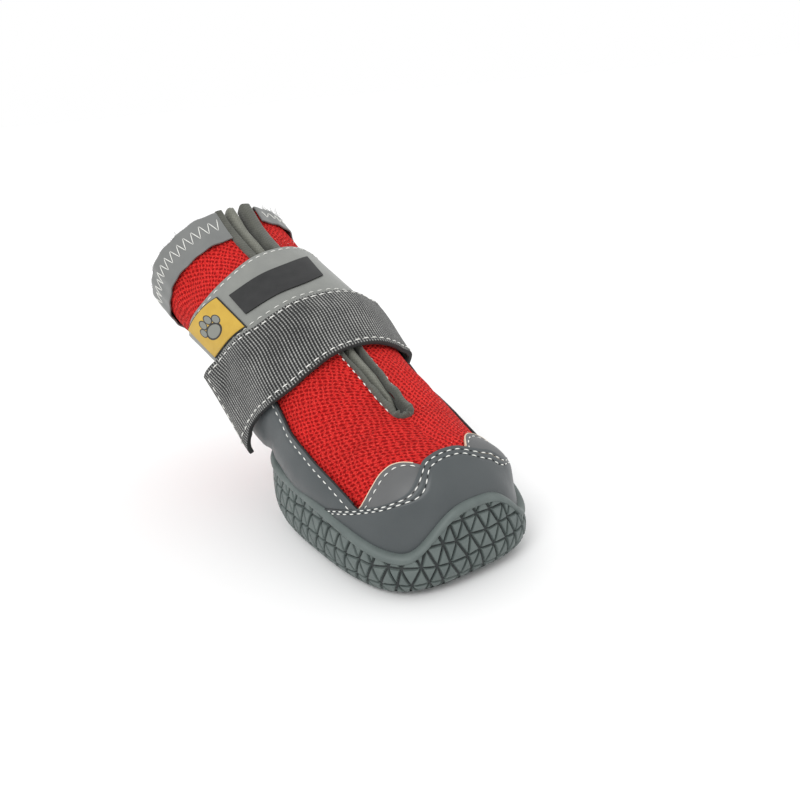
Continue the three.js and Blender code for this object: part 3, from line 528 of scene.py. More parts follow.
def badge_rubber(name, low, high, paw_colour, line_colour):
    """Yellow moulded rubber. The eye gets a worn yellow with a raised grey paw, outlined in black."""
    material, tree, shader = new_material(name, 0.5, Specular_IOR_Level=0.4)
    _, along, across = cloth_axes(tree)
    nearest = 9.0  # past every pad, whose border is at 1
    for x, y, wide, tall in PAW_PADS:
        squares = []
        for length, middle, half in ((along, x, wide), (across, y, tall)):
            share = node(tree, "Math", (length, 1 / half, -middle / half), operation="MULTIPLY_ADD")
            squares.append(node(tree, "Math", (share, share), operation="MULTIPLY"))
        away = node(tree, "Math", squares, operation="ADD")
        nearest = node(tree, "Math", (nearest, away), operation="MINIMUM")
    paw = node(tree, "Math", (nearest, 1.0), operation="LESS_THAN")
    ring = node(tree, "Math", (nearest, 1.6), operation="LESS_THAN")
    share = object_noise(tree, 4, 3.0)
    ground = node(tree, "Mix", {0: share, 6: linear(low), 7: linear(high)}, 2, data_type="RGBA")
    outlined = node(tree, "Mix", {0: ring, 6: ground, 7: linear(line_colour)}, 2, data_type="RGBA")
    colour = node(tree, "Mix", {0: paw, 6: outlined, 7: linear(paw_colour)}, 2, data_type="RGBA")
    height = node(tree, "Math", (ring, 0.6, object_noise(tree, 0.5)), operation="MULTIPLY_ADD")
    surfaced(shader, colour, height, depth=0.1, strength=0.5)
    return material


# The generic paw on the badge: each pad's middle across and up, half width and half height in mm
PAW_PADS = [(0, -1.8, 3.3, 2.6), (-4.2, 1.2, 1.3, 1.8), (-1.55, 3.5, 1.3, 1.9), (1.55, 3.5, 1.3, 1.9),
            (4.2, 1.2, 1.3, 1.8)]

RED_MESH = air_mesh("knitted air mesh", "#b0090f", "#d41218", "#ff4f45", "#980509", 1.4)
LINING = woven("lining cloth", "#3c3d3e", "#555658", 0.4)
BINDING = woven("binding tape", "#3f403a", "#5c5d55")
GUSSET_CLOTH = woven("gusset cloth", "#5c5d55", "#7c7d73", 0.6)
FOAM = woven("insole cloth", "#2f3133", "#46484a", 0.7)
CAP_LEATHER = leather("calendered synthetic leather", "#3d4244", "#4d5253", 0.42)
PETAL_LEATHER = leather("matt synthetic leather", "#535455", "#626363", 0.52)
SOLE_RUBBER = rubber("moulded rubber", "#4b5453", "#69726f")
# The same moulded rubber made darker on the groove floor: painted shade deep in the narrow grooves
GROOVE_SHADE_RUBBER = rubber("rubber in the grooves with painted shade", "#1d2222", "#2c3232")
STRAP_TAPE = tape("reflective tape", "#717370", "#82847f")
COLLAR_TAPE = tape("collar tape", "#626463", "#727472")
WEBBING = webbing("ribbed webbing")
BADGE_RUBBER = badge_rubber("yellow rubber patch", "#b08c2e", "#c9a63f", "#7d7f78", "#23221f")

# Cut edges look dull: pale where the leather's backing shows, dark where it is dyed. The webbing's sides are
# coloured dark
RAW_EDGE = plain("raw leather edge", "#d9c6ae", 0.85)
DARK_EDGE = plain("dark cut edge", "#1d1f20", 0.85)
WEBBING_EDGE = plain("dark sides of the webbing", "#2b2c2c", 0.85)

# Spun threads and fibres look matt and soft, and the black patch is a dull moulded rubber
WHITE_THREAD = plain("white thread", "#e4e4df", 0.7, 0.2)
DARK_THREAD = plain("dark thread", "#1c1e1f", 0.7, 0.2)
FIBRE = plain("loose polyester fibre", "#8d8e8a", 0.7, 0.2)
PLATE_RUBBER = plain("black rubber patch", "#141516", 0.6, 0.5, 0.05)


# Sole
BEAD_RADIUS = 1.5
SIDE_GROOVE = 0.8
RIM_HEIGHTS = dict(toe=24.4, corner=13, side=21, heel=22.3)
BUMPER_TURN = 0.64
ANKLE_TURN = 1.81
BUMPER_POWER = 0.9  # under 1, the bumper falls off sooner beside the toe
BOTTOM_ROUND = 5
BULGE_HEIGHT = 9.6
BULGE_SHARE = 0.75  # the bulge stays under this share of the side's height
RIM_INSET = 0.6
TOE_SPRING, TOE_SPRING_START = 1.6, 0.55  # rise of the underside in mm, and where it starts, as a share
HEEL_SPRING, HEEL_SPRING_START = 1.8, 0.7


def outline(turn):
    """A point of the sole's widest line: turn 0 is the toe, a quarter turn the boot's left."""
    cosine, sine = np.cos(turn), np.sin(turn)
    power = 2 / np.where(cosine >= 0, TOE_ROUNDNESS, HEEL_ROUNDNESS)
    x = np.where(cosine >= 0, TOE_REACH, HEEL_REACH) * np.sign(cosine) * np.abs(cosine) ** power
    y = sole_breadth(x) / 2 * np.sign(sine) * np.abs(sine) ** power
    return x, y


def rim_height(turn):
    """Height of the rim: a bumper at the toe, low at the corners, higher from there to the heel."""
    away = np.abs(turn)
    h = RIM_HEIGHTS
    toe = mix(h["toe"], h["corner"], ease((away / BUMPER_TURN) ** BUMPER_POWER))
    side = mix(h["corner"], h["side"], ease((away - BUMPER_TURN) / (ANKLE_TURN - BUMPER_TURN)))
    heel = mix(h["side"], h["heel"], ease((away - ANKLE_TURN) / (math.pi - ANKLE_TURN)))
    return np.where(away < BUMPER_TURN, toe, np.where(away < ANKLE_TURN, side, heel))


def sole_lift(x):
    """How far the underside is off the ground."""
    toe = np.clip((x / TOE_REACH - TOE_SPRING_START) / (1 - TOE_SPRING_START), 0, 1)
    heel = np.clip((-x / HEEL_REACH - HEEL_SPRING_START) / (1 - HEEL_SPRING_START), 0, 1)
    return TOE_SPRING * toe**2 + HEEL_SPRING * heel**2


WALK_TURNS = np.linspace(-math.pi, math.pi, 4001)
WALKED = walked_along(np.stack(outline(WALK_TURNS), -1))
GIRTH = WALKED[-1]


def turn_at(length):
    """Turn on the sole's outline at a length from the heel, round the right side to the toe and back."""
    return np.interp(length, WALKED, WALK_TURNS)


def outline_frame(turn):
    """A point of the sole's outline and the level direction away from it."""
    step = 0.01
    x, y = outline(turn)
    along = unit(np.stack(outline(turn + step), -1) - np.stack(outline(turn - step), -1))
    return np.stack([x, y, 0 * x], -1), np.stack([along[..., 1], -along[..., 0], 0 * x], -1)


def bulge_and_top(turn):
    """Heights of the side's foot, its widest line and its top."""
    low = sole_lift(outline(turn)[0])
    top = rim_height(turn) - 2 * BEAD_RADIUS
    return low, np.minimum(low + BULGE_HEIGHT, mix(low, top, BULGE_SHARE)), top


def side_of_sole(turn, height, out):
    """A point of the side at a height, moved out from it."""
    edge, normal = outline_frame(turn)
    low, bulge, top = bulge_and_top(turn)
    lower = np.clip((height - low) / (bulge - low), 0, 1)
    upper = np.clip((height - bulge) / (top - bulge), 0, 1)
    inset = BOTTOM_ROUND * (1 - np.sqrt(1 - (1 - lower) ** 2)) + RIM_INSET * upper**2
    flat = np.sqrt(np.clip(1 - (1 - lower) ** 2, 0, 1))
    level = np.where(height < bulge, flat, 1)
    point = edge + normal * (out * level - inset)[..., None]
    point[..., 2] = height - out * (1 - level)
    return point


# Triangle blocks of the side. They stand in level rows and crowd together at the toe.
BLOCK_LEVELS = (-1.0, 4.4, 9.8, 15.0, 20.2, 25.4)
BLOCKS_ROUND = 48
TOE_CROWDING = 0.12
BLOCK_JITTER = (0.13, 0.5)  # of a block along the side, and mm up
BLOCK_SEED = 5
BLOCK_FOOT, BLOCK_SHOULDER, BLOCK_FACE = (-0.95, 0.22), (-0.2, 0.42), (0.0, 0.62)  # out from the side, inset
BLOCK_CUTS = 3
BLOCKS_OVER = 0.9  # how far the blocks go on above the side's top, behind the lip
BLOCK_LEAST = 1.2  # a block that shows less of its height than this is left out
BLOCK_START = 0.12  # height over the side's foot


def block_length(passed):
    """Length along the outline of a place counted in blocks from the heel."""
    share = passed / BLOCKS_ROUND
    return GIRTH * (share + TOE_CROWDING * np.sin(2 * math.pi * share) / (2 * math.pi))


def block_template():
    """One block as a triangle of small faces, with a border in two rings that will slope down."""
    bm = bmesh.new()
    bmesh.ops.create_circle(bm, cap_ends=True, segments=3, radius=1.0)
    bmesh.ops.subdivide_edges(bm, edges=bm.edges, cuts=BLOCK_CUTS, use_grid_fill=True)
    ring = bm.verts.layers.int.new("ring")
    for number in (1, 2):
        border = [edge for edge in bm.edges if edge.is_boundary]
        made = bmesh.ops.extrude_edge_only(bm, edges=border)["geom"]
        for vert in made:
            if isinstance(vert, bmesh.types.BMVert):
                vert[ring] = number
    return bm, ring


def block_weights(template, ring):
    """How much each of a triangle's corners counts for each point of the template, and the point's ring."""
    flat = np.array([vert.co[:2] for vert in template.verts])
    away = np.linalg.norm(flat, axis=1)
    tip = flat[np.argmax(away)]
    turns = math.atan2(tip[1], tip[0]) + np.arange(3) * math.tau / 3
    spikes = np.column_stack([np.cos(turns) * away.max(), np.sin(turns) * away.max(), np.ones(3)])
    weights = np.column_stack([flat, np.ones(len(flat))]) @ np.linalg.inv(spikes)
    return weights, np.array([vert[ring] for vert in template.verts])


def block_places():
    """Corners of the triangles, in blocks along from the heel and mm up, each moved a little by chance."""
    rows, around = len(BLOCK_LEVELS), 2 * BLOCKS_ROUND
    shifts = np.random.default_rng(BLOCK_SEED).uniform(-1, 1, (rows, around, 2)) * BLOCK_JITTER

    def corner(passed, level):
        along, up = shifts[level, round(2 * passed) % around]
        return passed + along, BLOCK_LEVELS[level] + up

    for row in range(rows - 1):
        for i in range(BLOCKS_ROUND):
            start = i + 0.5 * (row % 2)
            yield corner(start, row), corner(start + 1, row), corner(start + 0.5, row + 1)
            yield corner(start + 1.5, row + 1), corner(start + 0.5, row + 1), corner(start + 1, row)


def blocks():
    """Triangle blocks, each drawn in from its borders ring by ring and stood out from the side."""
    template, ring = block_template()
    weights, rings = block_weights(template, ring)
    mesh = mesh_of("block", template)
    bm = bmesh.new()
    kept = []
    for place in block_places():
        passed, heights = zip(*place)
        top = bulge_and_top(turn_at(block_length(sum(passed) / 3) % GIRTH))[2]
        if min(heights) < top + BLOCKS_OVER - BLOCK_LEAST:
            bm.from_mesh(mesh)
            kept.append(place)
    bpy.data.meshes.remove(mesh)
    passed, heights = np.moveaxis(np.array(kept), -1, 0)
    corners = np.stack([block_length(passed), heights], -1)
    sides = np.linalg.norm(np.roll(corners, -1, 1) - np.roll(corners, -2, 1), axis=-1)
    border = np.sum(sides, 1)
    (a, b), (c, d) = np.moveaxis(corners[:, 1:] - corners[:, :1], 0, -1)
    inradius = np.abs(a * d - b * c) / border
    centre = (np.sum(corners * sides[..., None], 1) / border[:, None])[:, None]
    out, inset = np.array([BLOCK_FACE, BLOCK_SHOULDER, BLOCK_FOOT])[rings].T
    shrunk = 1 - inset / inradius[:, None]
    flat = centre + (np.einsum("vk,bkc->bvc", weights, corners) - centre) * shrunk[..., None]
    turns = turn_at(flat[..., 0] % GIRTH)
    low, _, top = bulge_and_top(turns)
    height = np.clip(flat[..., 1], low + BLOCK_START, top + BLOCKS_OVER)
    points = side_of_sole(turns, height, np.broadcast_to(out, height.shape)).reshape(-1, 3)
    for vert, point in zip(bm.verts, points):
        vert.co = point * MM
    bmesh.ops.dissolve_degenerate(bm, dist=2 * DOUBLES * MM, edges=bm.edges)
    bmesh.ops.recalc_face_normals(bm, faces=bm.faces)
    piece = finished("outsole_blocks", bm, "rubber", (), [SOLE_RUBBER])
    for face in piece.data.polygons:
        face.use_smooth = False


# Band and bead of the rim: how far out from the side and up from its top
BAND_PROFILE = [(-0.9, 0.5), (-0.1, 0.65), (0.3, 0.95), (0.5, 1.4), (0.5, 1.95), (0.25, 2.45), (-0.2, 2.85),
                (-0.8, 3.1), (-1.5, 3.2), (-2.3, 3.1), (-3.2, 2.9), (-5.2, 2.5)]


def rim():
    """Smooth band over the blocks with its rounded lip and the ledge that meets the upper."""
    outs, ups = ([(k, row[i]) for k, row in enumerate(BAND_PROFILE)] for i in (0, 1))

    def where(u, v, lift):
        turn = turn_at(u * GIRTH)
        at = v * (len(BAND_PROFILE) - 1)
        point = side_of_sole(turn, bulge_and_top(turn)[2], charted(outs, at) + lift)
        point[..., 2] += charted(ups, at) + lift
        return point

    laid("outsole_rim", 420, 44, where, "rubber", (), [SOLE_RUBBER], closed=True)


SIDE_OVER = 1.4  # how far the side goes on behind the lip


def outsole_side():
    """The ground of the grooves between the blocks, in the moulded rubber darkened with painted shade."""

    def where(u, v, lift):
        turn = turn_at(u * GIRTH)
        low, bulge, top = bulge_and_top(turn)
        lower = mix(low, bulge, 1 - np.cos(np.clip(v * 2, 0, 1) * math.pi / 2))
        height = np.where(v < 0.5, lower, mix(bulge, top + SIDE_OVER, v * 2 - 1))
        return side_of_sole(turn, height, lift - SIDE_GROOVE)

    laid("outsole_side", 360, 36, where, "rubber", ("outsole",), [GROOVE_SHADE_RUBBER], closed=True)


TREAD_PLACES = (-0.78, -0.55, -0.32, 0.3, 0.52, 0.74)  # shares of the reach of toe or heel
TREAD_WIDTH = 2.2
TREAD_DEPTH = 1.2
TREAD_WALL = 0.6  # width of a groove's sloping wall
TREAD_END = 0.97  # share of the underside that the grooves reach
CHEVRON_DEPTH = 5


def tread():
    """Underside with chevron grooves."""

    def where(u, v, lift):
        x, y = outline(mix(-math.pi, math.pi, u))
        reach = v * (1 - BOTTOM_ROUND / np.hypot(x, y))
        x, y = x * reach, y * reach
        cut = np.zeros_like(x)
        for share in TREAD_PLACES:
            middle = share * (TOE_REACH if share > 0 else HEEL_REACH)
            away = np.abs(x - middle - CHEVRON_DEPTH * (0.5 - np.abs(y) / (SOLE_BREADTH / 2)))
            cut = np.maximum(cut, 1 - ease((away - TREAD_WIDTH / 2 + TREAD_WALL / 2) / TREAD_WALL))
        return np.stack([x, y, sole_lift(x) + TREAD_DEPTH * cut * (v < TREAD_END) - lift], -1)

    laid("outsole_tread", 240, 60, where, "rubber", (), [SOLE_RUBBER], closed=True)


INSOLE_INSET = 9.4
INSOLE_TOP = 6.4
INSOLE_DISH = 0.5
INSOLE_ROLL, ROLL_START = 2.0, 0.87  # how far the edge rolls down, and from which share of the way out
INSOLE_SPREAD = 1.15  # brings the surface to its edge before the roll
QUILT_RISE, QUILT_ALONG, QUILT_ACROSS = 0.25, 9, 8  # soft bumps


def insole():
    """Soft foam bed with a rolled edge."""

    def where(u, v, lift):
        x, y = outline(mix(-math.pi, math.pi, u))
        share = np.clip(v * INSOLE_SPREAD, 0, 1) * (1 - INSOLE_INSET / np.hypot(x, y))
        x, y = x * share, y * share
        edge = np.clip((v - ROLL_START) / (1 - ROLL_START), 0, 1)
        bumps = QUILT_RISE * np.cos(x / QUILT_ALONG) * np.cos(y / QUILT_ACROSS)
        z = INSOLE_TOP - INSOLE_DISH * v**4 - INSOLE_ROLL * edge + bumps
        return np.stack([x, y, z + lift], -1)

    piece = laid("insole_bed", 96, 30, where, "foam", ("insole",), [FOAM], closed=True)


# Upper and what is sewn on it
SLIT_END = 5.05
SLIT_LOW = 4.6
SLIT_TOP = 9
SHELL_BOTTOM = 3.9
LEATHER_BOTTOM = 5.5


def slit_half(place):
    """Half the width of the slit, which has a round end."""
    radius = SLIT_LOW / 2
    along = np.maximum((place - SLIT_END) * pace(np.full_like(place, SLIT_END), 0 * place), 0)
    round_end = np.sqrt(np.clip(radius**2 - (radius - np.minimum(along, radius)) ** 2, 0, None))
    straight = mix(SLIT_LOW, SLIT_TOP, (place - SLIT_END) / (LAST - SLIT_END)) / 2
    return np.where(along < radius, round_end, straight)


def upper():
    """The mesh shell. Its rows crowd together round the slit's end."""
    shares = [0, 0.12, 0.4, 0.47, 1]
    sections = [0, SLIT_END - 1, SLIT_END, SLIT_END + 0.9, LAST]

    def where(u, v, lift):
        place = np.interp(v, shares, sections)
        start = np.where(place > SLIT_END, crest_angle(place, slit_half(place)), 0)
        return skin(place, mix(start, 2 * math.pi - start, u), lift)

    piece = laid("upper_shell", 176, 150, where, "mesh", ("upper",), [RED_MESH, LINING], closed=True,
                 drop=lambda point: point.z < SHELL_BOTTOM)
    thicken(piece, thickness=WALL, edge=0, inside=1)


# Edges of the overlays: an angle from the crest in degrees and a place on the sections, or the other way
# round for the counter
CAP_EDGE = [(-122, 6.0), (-105, 5.85), (-90, 5.45), (-80, 4.9), (-75, 4.38), (-65, 3.28), (-55, 2.5),
            (-44, 2.3), (-32, 2.45), (-25, 2.66), (-21, 2.8), (-12, 2.9), (0, 2.9), (6, 2.82), (12, 2.62),
            (20, 2.45), (32, 2.4), (44, 2.3), (55, 2.5), (65, 3.28), (75, 4.38), (80, 4.9), (90, 5.45),
            (105, 5.85), (122, 6.0)]
PETAL_EDGE = [(-76, 4.25), (-72, 4.05), (-66, 3.92), (-56, 3.82), (-42, 3.75), (-34, 3.6), (-28, 3.3),
              (-23, 2.85), (-21, 2.6)]
FAR_PETAL_EDGE = [(10, 2.4), (13, 2.75), (18, 3.2), (25, 3.52), (34, 3.64), (45, 3.65), (56, 3.75),
                  (66, 3.9), (76, 4.25)]
COUNTER_EDGE = [(3.4, 75), (4.15, 72), (4.78, 69), (5.4, 67), (6.05, 66), (6.85, 66), (7.25, 63.5),
                (7.6, 63), (8.1, 66), (8.6, 73), (9.0, 80), (9.5, 92), (10.0, 110), (10.4, 132),
                (10.62, 150), (10.72, 168)]
CAP_REACH = 118  # degrees to each side
CAP_PACE = 0.9  # share of the way to its edge where the spacing of the sections is read
CAP_OUT = 1.85
COUNTER_OUT = 1.45
PETAL_OUT = 1.35
PETAL_TUCK = 0.25  # sections that a petal goes on under the cap
PETAL_LEAST = 0.02
PETAL_SWELL, PETAL_SWELL_WAY = 0.35, 4
CAP_STITCHES = (1.1, 2.75)
PETAL_STITCH = 1.6
COUNTER_STITCH = 1.5
STITCH_SINK, STITCH_FURROW = 0.22, 0.55  # depth and half width of the furrow along a seam
RIM_SWELL = 1.8
RIM_SWELL_WAY = 10.5


def below_sole(point):
    return point.z < LEATHER_BOTTOM


def sunk(away, lines):
    """How far a seam pulls the leather down at a distance from its edge."""
    return -STITCH_SINK * sum(np.exp(-(((away - line) / STITCH_FURROW) ** 2)) for line in lines)


def over_rim(point):
    """How far the leather stands out where it comes down to the rim of the sole."""
    x, y, z = (point[..., k] for k in range(3))
    front = x > 0
    power = np.where(front, TOE_ROUNDNESS, HEEL_ROUNDNESS) / 2
    along = (np.abs(x) / np.where(front, TOE_REACH, HEEL_REACH)) ** power
    aside = (np.abs(y) / (sole_breadth(x) / 2)) ** power
    turn = np.arctan2(aside, np.where(front, along, -along))
    return RIM_SWELL * ease((rim_height(turn) + RIM_SWELL_WAY - z) / RIM_SWELL_WAY)


def leather_on(place, angle, out):
    """A point of the cap's or the counter's leather, which swells over the rim of the sole."""
    return skin(place, angle, out + over_rim(skin(place, angle, out)))


def toe_cap():
    def where(u, v, lift):
        degrees = mix(-CAP_REACH, CAP_REACH, u)
        edge, angle = charted(CAP_EDGE, degrees), np.radians(degrees)
        away = edge * (1 - v) * pace(edge * CAP_PACE, angle)
        return leather_on(edge * v, angle, lift + CAP_OUT + sunk(away, CAP_STITCHES))

    piece = laid("toe_cap_leather", 240, 90, where, "cap_leather", ("toe_cap",), [CAP_LEATHER, DARK_EDGE],
                 drop=below_sole)
    thicken(piece, thickness=1.5, edge=0.3, rim=1)


def petal(name, node_name, edge_chart, first, last):
    """A side petal that peeps out from under the toe cap, between two angles in degrees."""

    def where(u, v, lift):
        degrees = mix(first, last, u)
        low = charted(CAP_EDGE, degrees) - PETAL_TUCK
        top = np.maximum(charted(edge_chart, degrees), low + PETAL_LEAST)
        place, angle = mix(low, top, v), np.radians(degrees)
        away = (top - place) * pace(place, angle)
        swell = PETAL_SWELL * ease((away - PETAL_STITCH) / PETAL_SWELL_WAY)
        return skin(place, angle, lift + PETAL_OUT + swell + sunk(away, (PETAL_STITCH,)))

    piece = laid(name, 70, 44, where, "petal_leather", (node_name,), [PETAL_LEATHER, RAW_EDGE])
    thicken(piece, thickness=1.1, edge=0.2, rim=1)


def counter():
    def where(u, v, lift):
        place = mix(COUNTER_EDGE[0][0], COUNTER_EDGE[-1][0], v)
        start = charted(COUNTER_EDGE, place)
        angle = np.radians(mix(start, 360 - start, u))
        edges = (face_point(place, np.radians(degrees)) for degrees in (start, 360 - start))
        away = np.minimum(*(np.linalg.norm(face_point(place, angle) - edge, axis=-1) for edge in edges))
        return leather_on(place, angle, lift + COUNTER_OUT + sunk(away, (COUNTER_STITCH,)))

    piece = laid("counter_leather", 220, 130, where, "cap_leather", ("counter",), [CAP_LEATHER, DARK_EDGE],
                 drop=below_sole)
    thicken(piece, thickness=1.1, edge=0.25, rim=1)


BINDING_ROUND = 0.14  # share of the tape that goes round the slit's end
BINDING_WIDTH = (0.8, 1.9)  # on the upper's face, at the slit's end and at the collar
BINDING_INSIDE = (0.3, 1.0, 2.0)  # over the slit, at its end, and at the collar on the right and the left
BINDING_WIDENS, BINDING_WAY = 0.35, 0.5  # share of each side where it starts to widen, and for how long
BINDING_TALL = 2.0
BINDING_BOX = 0.5  # power that makes the folded tape's section a rounded box
BINDING_END = 1.2  # how far the tape goes on past the collar's edge
FAR_RISE = 0.5  # how much higher the left side stands at the collar
BUNCH_REACH = 0.16  # share of each side where the tape bunches up
BUNCH_WIDTH, BUNCH_INSIDE, BUNCH_TALL = 0.35, 0.45, 0.3  # what that adds to its three sizes


def throat_binding():
    """Woven tape folded over the cut edge of the slit, down one side, round its end and up the other."""
    radius = SLIT_LOW / 2

    def where(u, v, lift):
        away = np.abs(u - 0.5) * 2
        side = np.where(u < 0.5, 1, -1)
        on_round = away < BINDING_ROUND
        swing = side * np.clip(away / BINDING_ROUND, 0, 1) * math.pi / 2
        rise = np.clip((away - BINDING_ROUND) / (1 - BINDING_ROUND), 0, 1)
        end = np.full_like(u, SLIT_END)
        place = mix(end + radius / pace(end, 0 * u), LAST, rise)
        bunched = np.exp(-((rise / BUNCH_REACH) ** 2))
        upwards = ease((rise - BINDING_WIDENS) / BINDING_WAY)
        width = mix(*BINDING_WIDTH, upwards) + BUNCH_WIDTH * bunched
        inside_top = mix(*BINDING_INSIDE[1:], side > 0)
        inside = mix(BINDING_INSIDE[0], inside_top, upwards) + BUNCH_INSIDE * bunched
        raised = FAR_RISE * upwards * (side > 0)
        tall = BINDING_TALL + BUNCH_TALL * bunched + raised
        turn = mix(-0.5, 1.5, v) * math.pi
        cosine, sine = np.cos(turn), np.sin(turn)
        boxed = np.sign(sine) * np.abs(sine) ** BINDING_BOX
        across = (width - inside) / 2 + ((width + inside) / 2 + lift) * boxed
        lumps = bunched * (0.38 * np.sin(away * 95 + side) + 0.25 * np.sin(away * 61 + 2)) * (cosine > 0)
        ripple = 0.12 * np.sin(rise * 26 + side)
        boxed = np.sign(cosine) * np.abs(cosine) ** BINDING_BOX
        out = -WALL / 2 + (tall + lift) * boxed + lumps + ripple + raised
        half = np.where(on_round, radius, slit_half(np.maximum(place, SLIT_END + 0.3)))
        left = (half + across) * np.where(on_round, np.sin(swing), side)
        down = np.where(on_round, (radius + across) * np.cos(swing), 0)
        at = place - down / pace(place, 0 * place)
        beyond = BINDING_END * ease((rise - 0.97) / 0.03)
        return skin(at, crest_angle(at, left), out) + mouthward(0.0) * beyond[..., None]

    laid("throat_binding_tape", 260, 40, where, "binding", ("throat_binding",), [BINDING], closed=True)


GUSSET_UNDER = 2.3  # how far the cloth reaches under the upper on each side
GUSSET_SINK = 1.9  # how far it lies under the shell's inner face
GUSSET_END = 1.6  # how far it goes on past the collar's edge
PLEAT_TALL = 4.4
PLEAT_HALF = (1.1, 1.75, 2.0)  # half widths at the slit's end, in the middle and at the collar
PLEAT_MIDDLE = (0.15, -0.4)  # to the left of the crest, low and high
PLEAT_POWER = 3.2
CREASE, CREASE_PINCHED, CREASE_HALF = 0.35, 0.9, 0.3  # depth, more of it at the slit's end, half width


def gusset():
    """Folded cloth that closes the slit from inside, with one round pleat that fills it."""

    def where(u, v, lift):
        place = mix(SLIT_END - 0.3, LAST, v)
        from_end = place - SLIT_END
        left = mix(-1, 1, u) * (slit_half(np.maximum(place, SLIT_END + 0.4)) + GUSSET_UNDER)
        grown = ease((from_end - 0.25) / 0.5)
        middle = mix(*PLEAT_MIDDLE, ease((place - 8) / 4))
        wide = mix(*PLEAT_HALF[1:], ease((place - 9) / 3))
        half = mix(PLEAT_HALF[0], wide, ease((from_end - 0.2) / 2))
        share = np.clip(np.abs(left - middle) / half, 0, 1)
        pleat = PLEAT_TALL * np.sqrt(1 - share**PLEAT_POWER)
        pinched = CREASE_PINCHED * np.exp(-(((from_end - 0.9) / 0.5) ** 2))
        deep = CREASE * np.sin(place * 2.1) ** 2 + pinched
        crease = deep * np.exp(-(((left - middle - 0.4) / CREASE_HALF) ** 2))
        ripple = 0.15 * np.sin(place * 5 + left * 0.9)
        out = -WALL - GUSSET_SINK + (pleat - crease + ripple) * grown + lift
        beyond = GUSSET_END * ease((v - 0.96) / 0.04)
        return skin(place, crest_angle(place, left), out) + mouthward(0.0) * beyond[..., None]

    piece = laid("gusset_cloth", 64, 160, where, "binding", ("gusset",), [GUSSET_CLOTH])
    thicken(piece, thickness=0.6, edge=0)


COLLAR_HEIGHT = 12
FAR_COLLAR_HEIGHT = 6.5
COLLAR_INSIDE = 6
COLLAR_OUT = 1.25
COLLAR_DEEP = 1.6  # the inner leaf's distance from the shell's inner face
COLLAR_RISE = 1.3  # of the fold over the shell's edge
COLLAR_FOLD = (0.55, 0.73)  # shares of the tape's width between which it folds over
COLLAR_WIDENS, COLLAR_WIDE = 1.1, 2.2  # angles in radians between which its height grows
COLLAR_GAPS = (3.0, 1.4)  # between the slit's edge and the tape, on the left and the right


def collar_height(angle):
    """The tape is narrower where it nears the slit on the far side."""
    share = ease((angle - COLLAR_WIDENS) / (COLLAR_WIDE - COLLAR_WIDENS))
    return mix(FAR_COLLAR_HEIGHT, COLLAR_HEIGHT, share)


def collar_ends():
    """Angles in radians from which and to which the tape runs, from the slit's left side to its right."""
    reach = SLIT_TOP / 2 + np.array(COLLAR_GAPS)
    left, right = crest_angle(np.full(2, float(LAST)), reach)
    return left, 2 * math.pi - right


def collar_waves(angle):
    """How the tape ripples round the collar."""
    return 0.25 * np.sin(angle * 9) + 0.18 * np.sin(angle * 23 + 1)


def collar_point(angle, down, out):
    """A point of the collar tape, some way down from the edge and out from the upper."""
    place = LAST - down / pace(np.full_like(angle, LAST), angle)
    return skin(place, angle, out + collar_waves(angle))


def collar_band():
    def where(u, v, lift):
        angle = mix(*collar_ends(), u)
        start, end = COLLAR_FOLD
        outer, inner = COLLAR_OUT + lift, -WALL - COLLAR_DEEP - lift
        fold = np.clip((v - start) / (end - start), 0, 1) * math.pi
        inner_down = COLLAR_INSIDE * np.clip((v - end) / (1 - end), 0, 1)
        down = np.where(v < start, mix(collar_height(angle), 0, v / start), inner_down)
        point = collar_point(angle, down, (outer + inner) / 2 + (outer - inner) / 2 * np.cos(fold))
        rise = (COLLAR_RISE + lift) * np.sin(fold) ** 0.6
        return point + mouthward(angle) * rise[..., None]

    piece = laid("collar_tape", 220, 48, where, "reflective_tape", ("collar_band",), [COLLAR_TAPE])
    thicken(piece, thickness=0.6, edge=0.15)


# Straps
def strap_edge(*places):
    """Places of a strap's edge on the sections, every 30 degrees from the middle of the back."""
    return list(zip(range(-180, 181, 30), places))


WEBBING_LOW = strap_edge(10.3, 10.1, 9.05, 8.05, 7.3, 7.08, 7.12, 7.15, 7.45, 8.15, 9.35, 10.1, 10.3)
STRAP_JOINT = strap_edge(11.25, 11.1, 10.75, 10.15, 9.15, 8.62, 8.55, 8.65, 9.15, 10.1, 10.75, 11.1, 11.25)
REFLECTIVE_TOP = strap_edge(12.15, 12.0, 11.8, 11.5, 11.02, 10.76, 10.87, 11.1, 11.42, 11.7, 11.9, 12.05,
                            12.15)
STRAP_OVERLAP = 0.12  # sections that the reflective strap goes on under the webbing
WEBBING_END = -107  # degrees
REFLECTIVE_END = -108
STRAP_ROOT = 174
STRAP_BED = 0.5
BED_OVER_BINDING, BED_FROM, BED_WAY = 1.1, 2.0, 15  # over the binding in front, and how it fades in mm
BED_OVER_LEATHER = ((1.5, 40, 22), (0.9, 90, 40))  # rises, from which degree and over how many
REFLECTIVE_OUT = 1.0
WEBBING_OUT = 1.7
WEBBING_LEAN = 1.1  # how much further its upper edge stands out, over the reflective strap
WEBBING_LIFT, LIFT_START = 3.6, -78  # how far the free end stands off, and from which degree
END_STRAIGHTNESS, STRAIGHT_START = 0.9, -84


def strap_bed(place, degrees, over_counter):
    """How far out a strap lies on what is sewn under it."""
    angle = np.radians(degrees)
    left = np.abs(face_point(place, angle)[..., 1] - face_point(place, 0 * angle)[..., 1])
    beside = ease((left - slit_half(place) - BED_FROM) / BED_WAY)
    binding = BED_OVER_BINDING * (np.abs(degrees) < 90) * (1 - beside)
    leather_rise = sum(rise * ease((np.abs(degrees) - start) / way) for rise, start, way in BED_OVER_LEATHER)
    return STRAP_BED + np.maximum(binding, leather_rise if over_counter else 0)


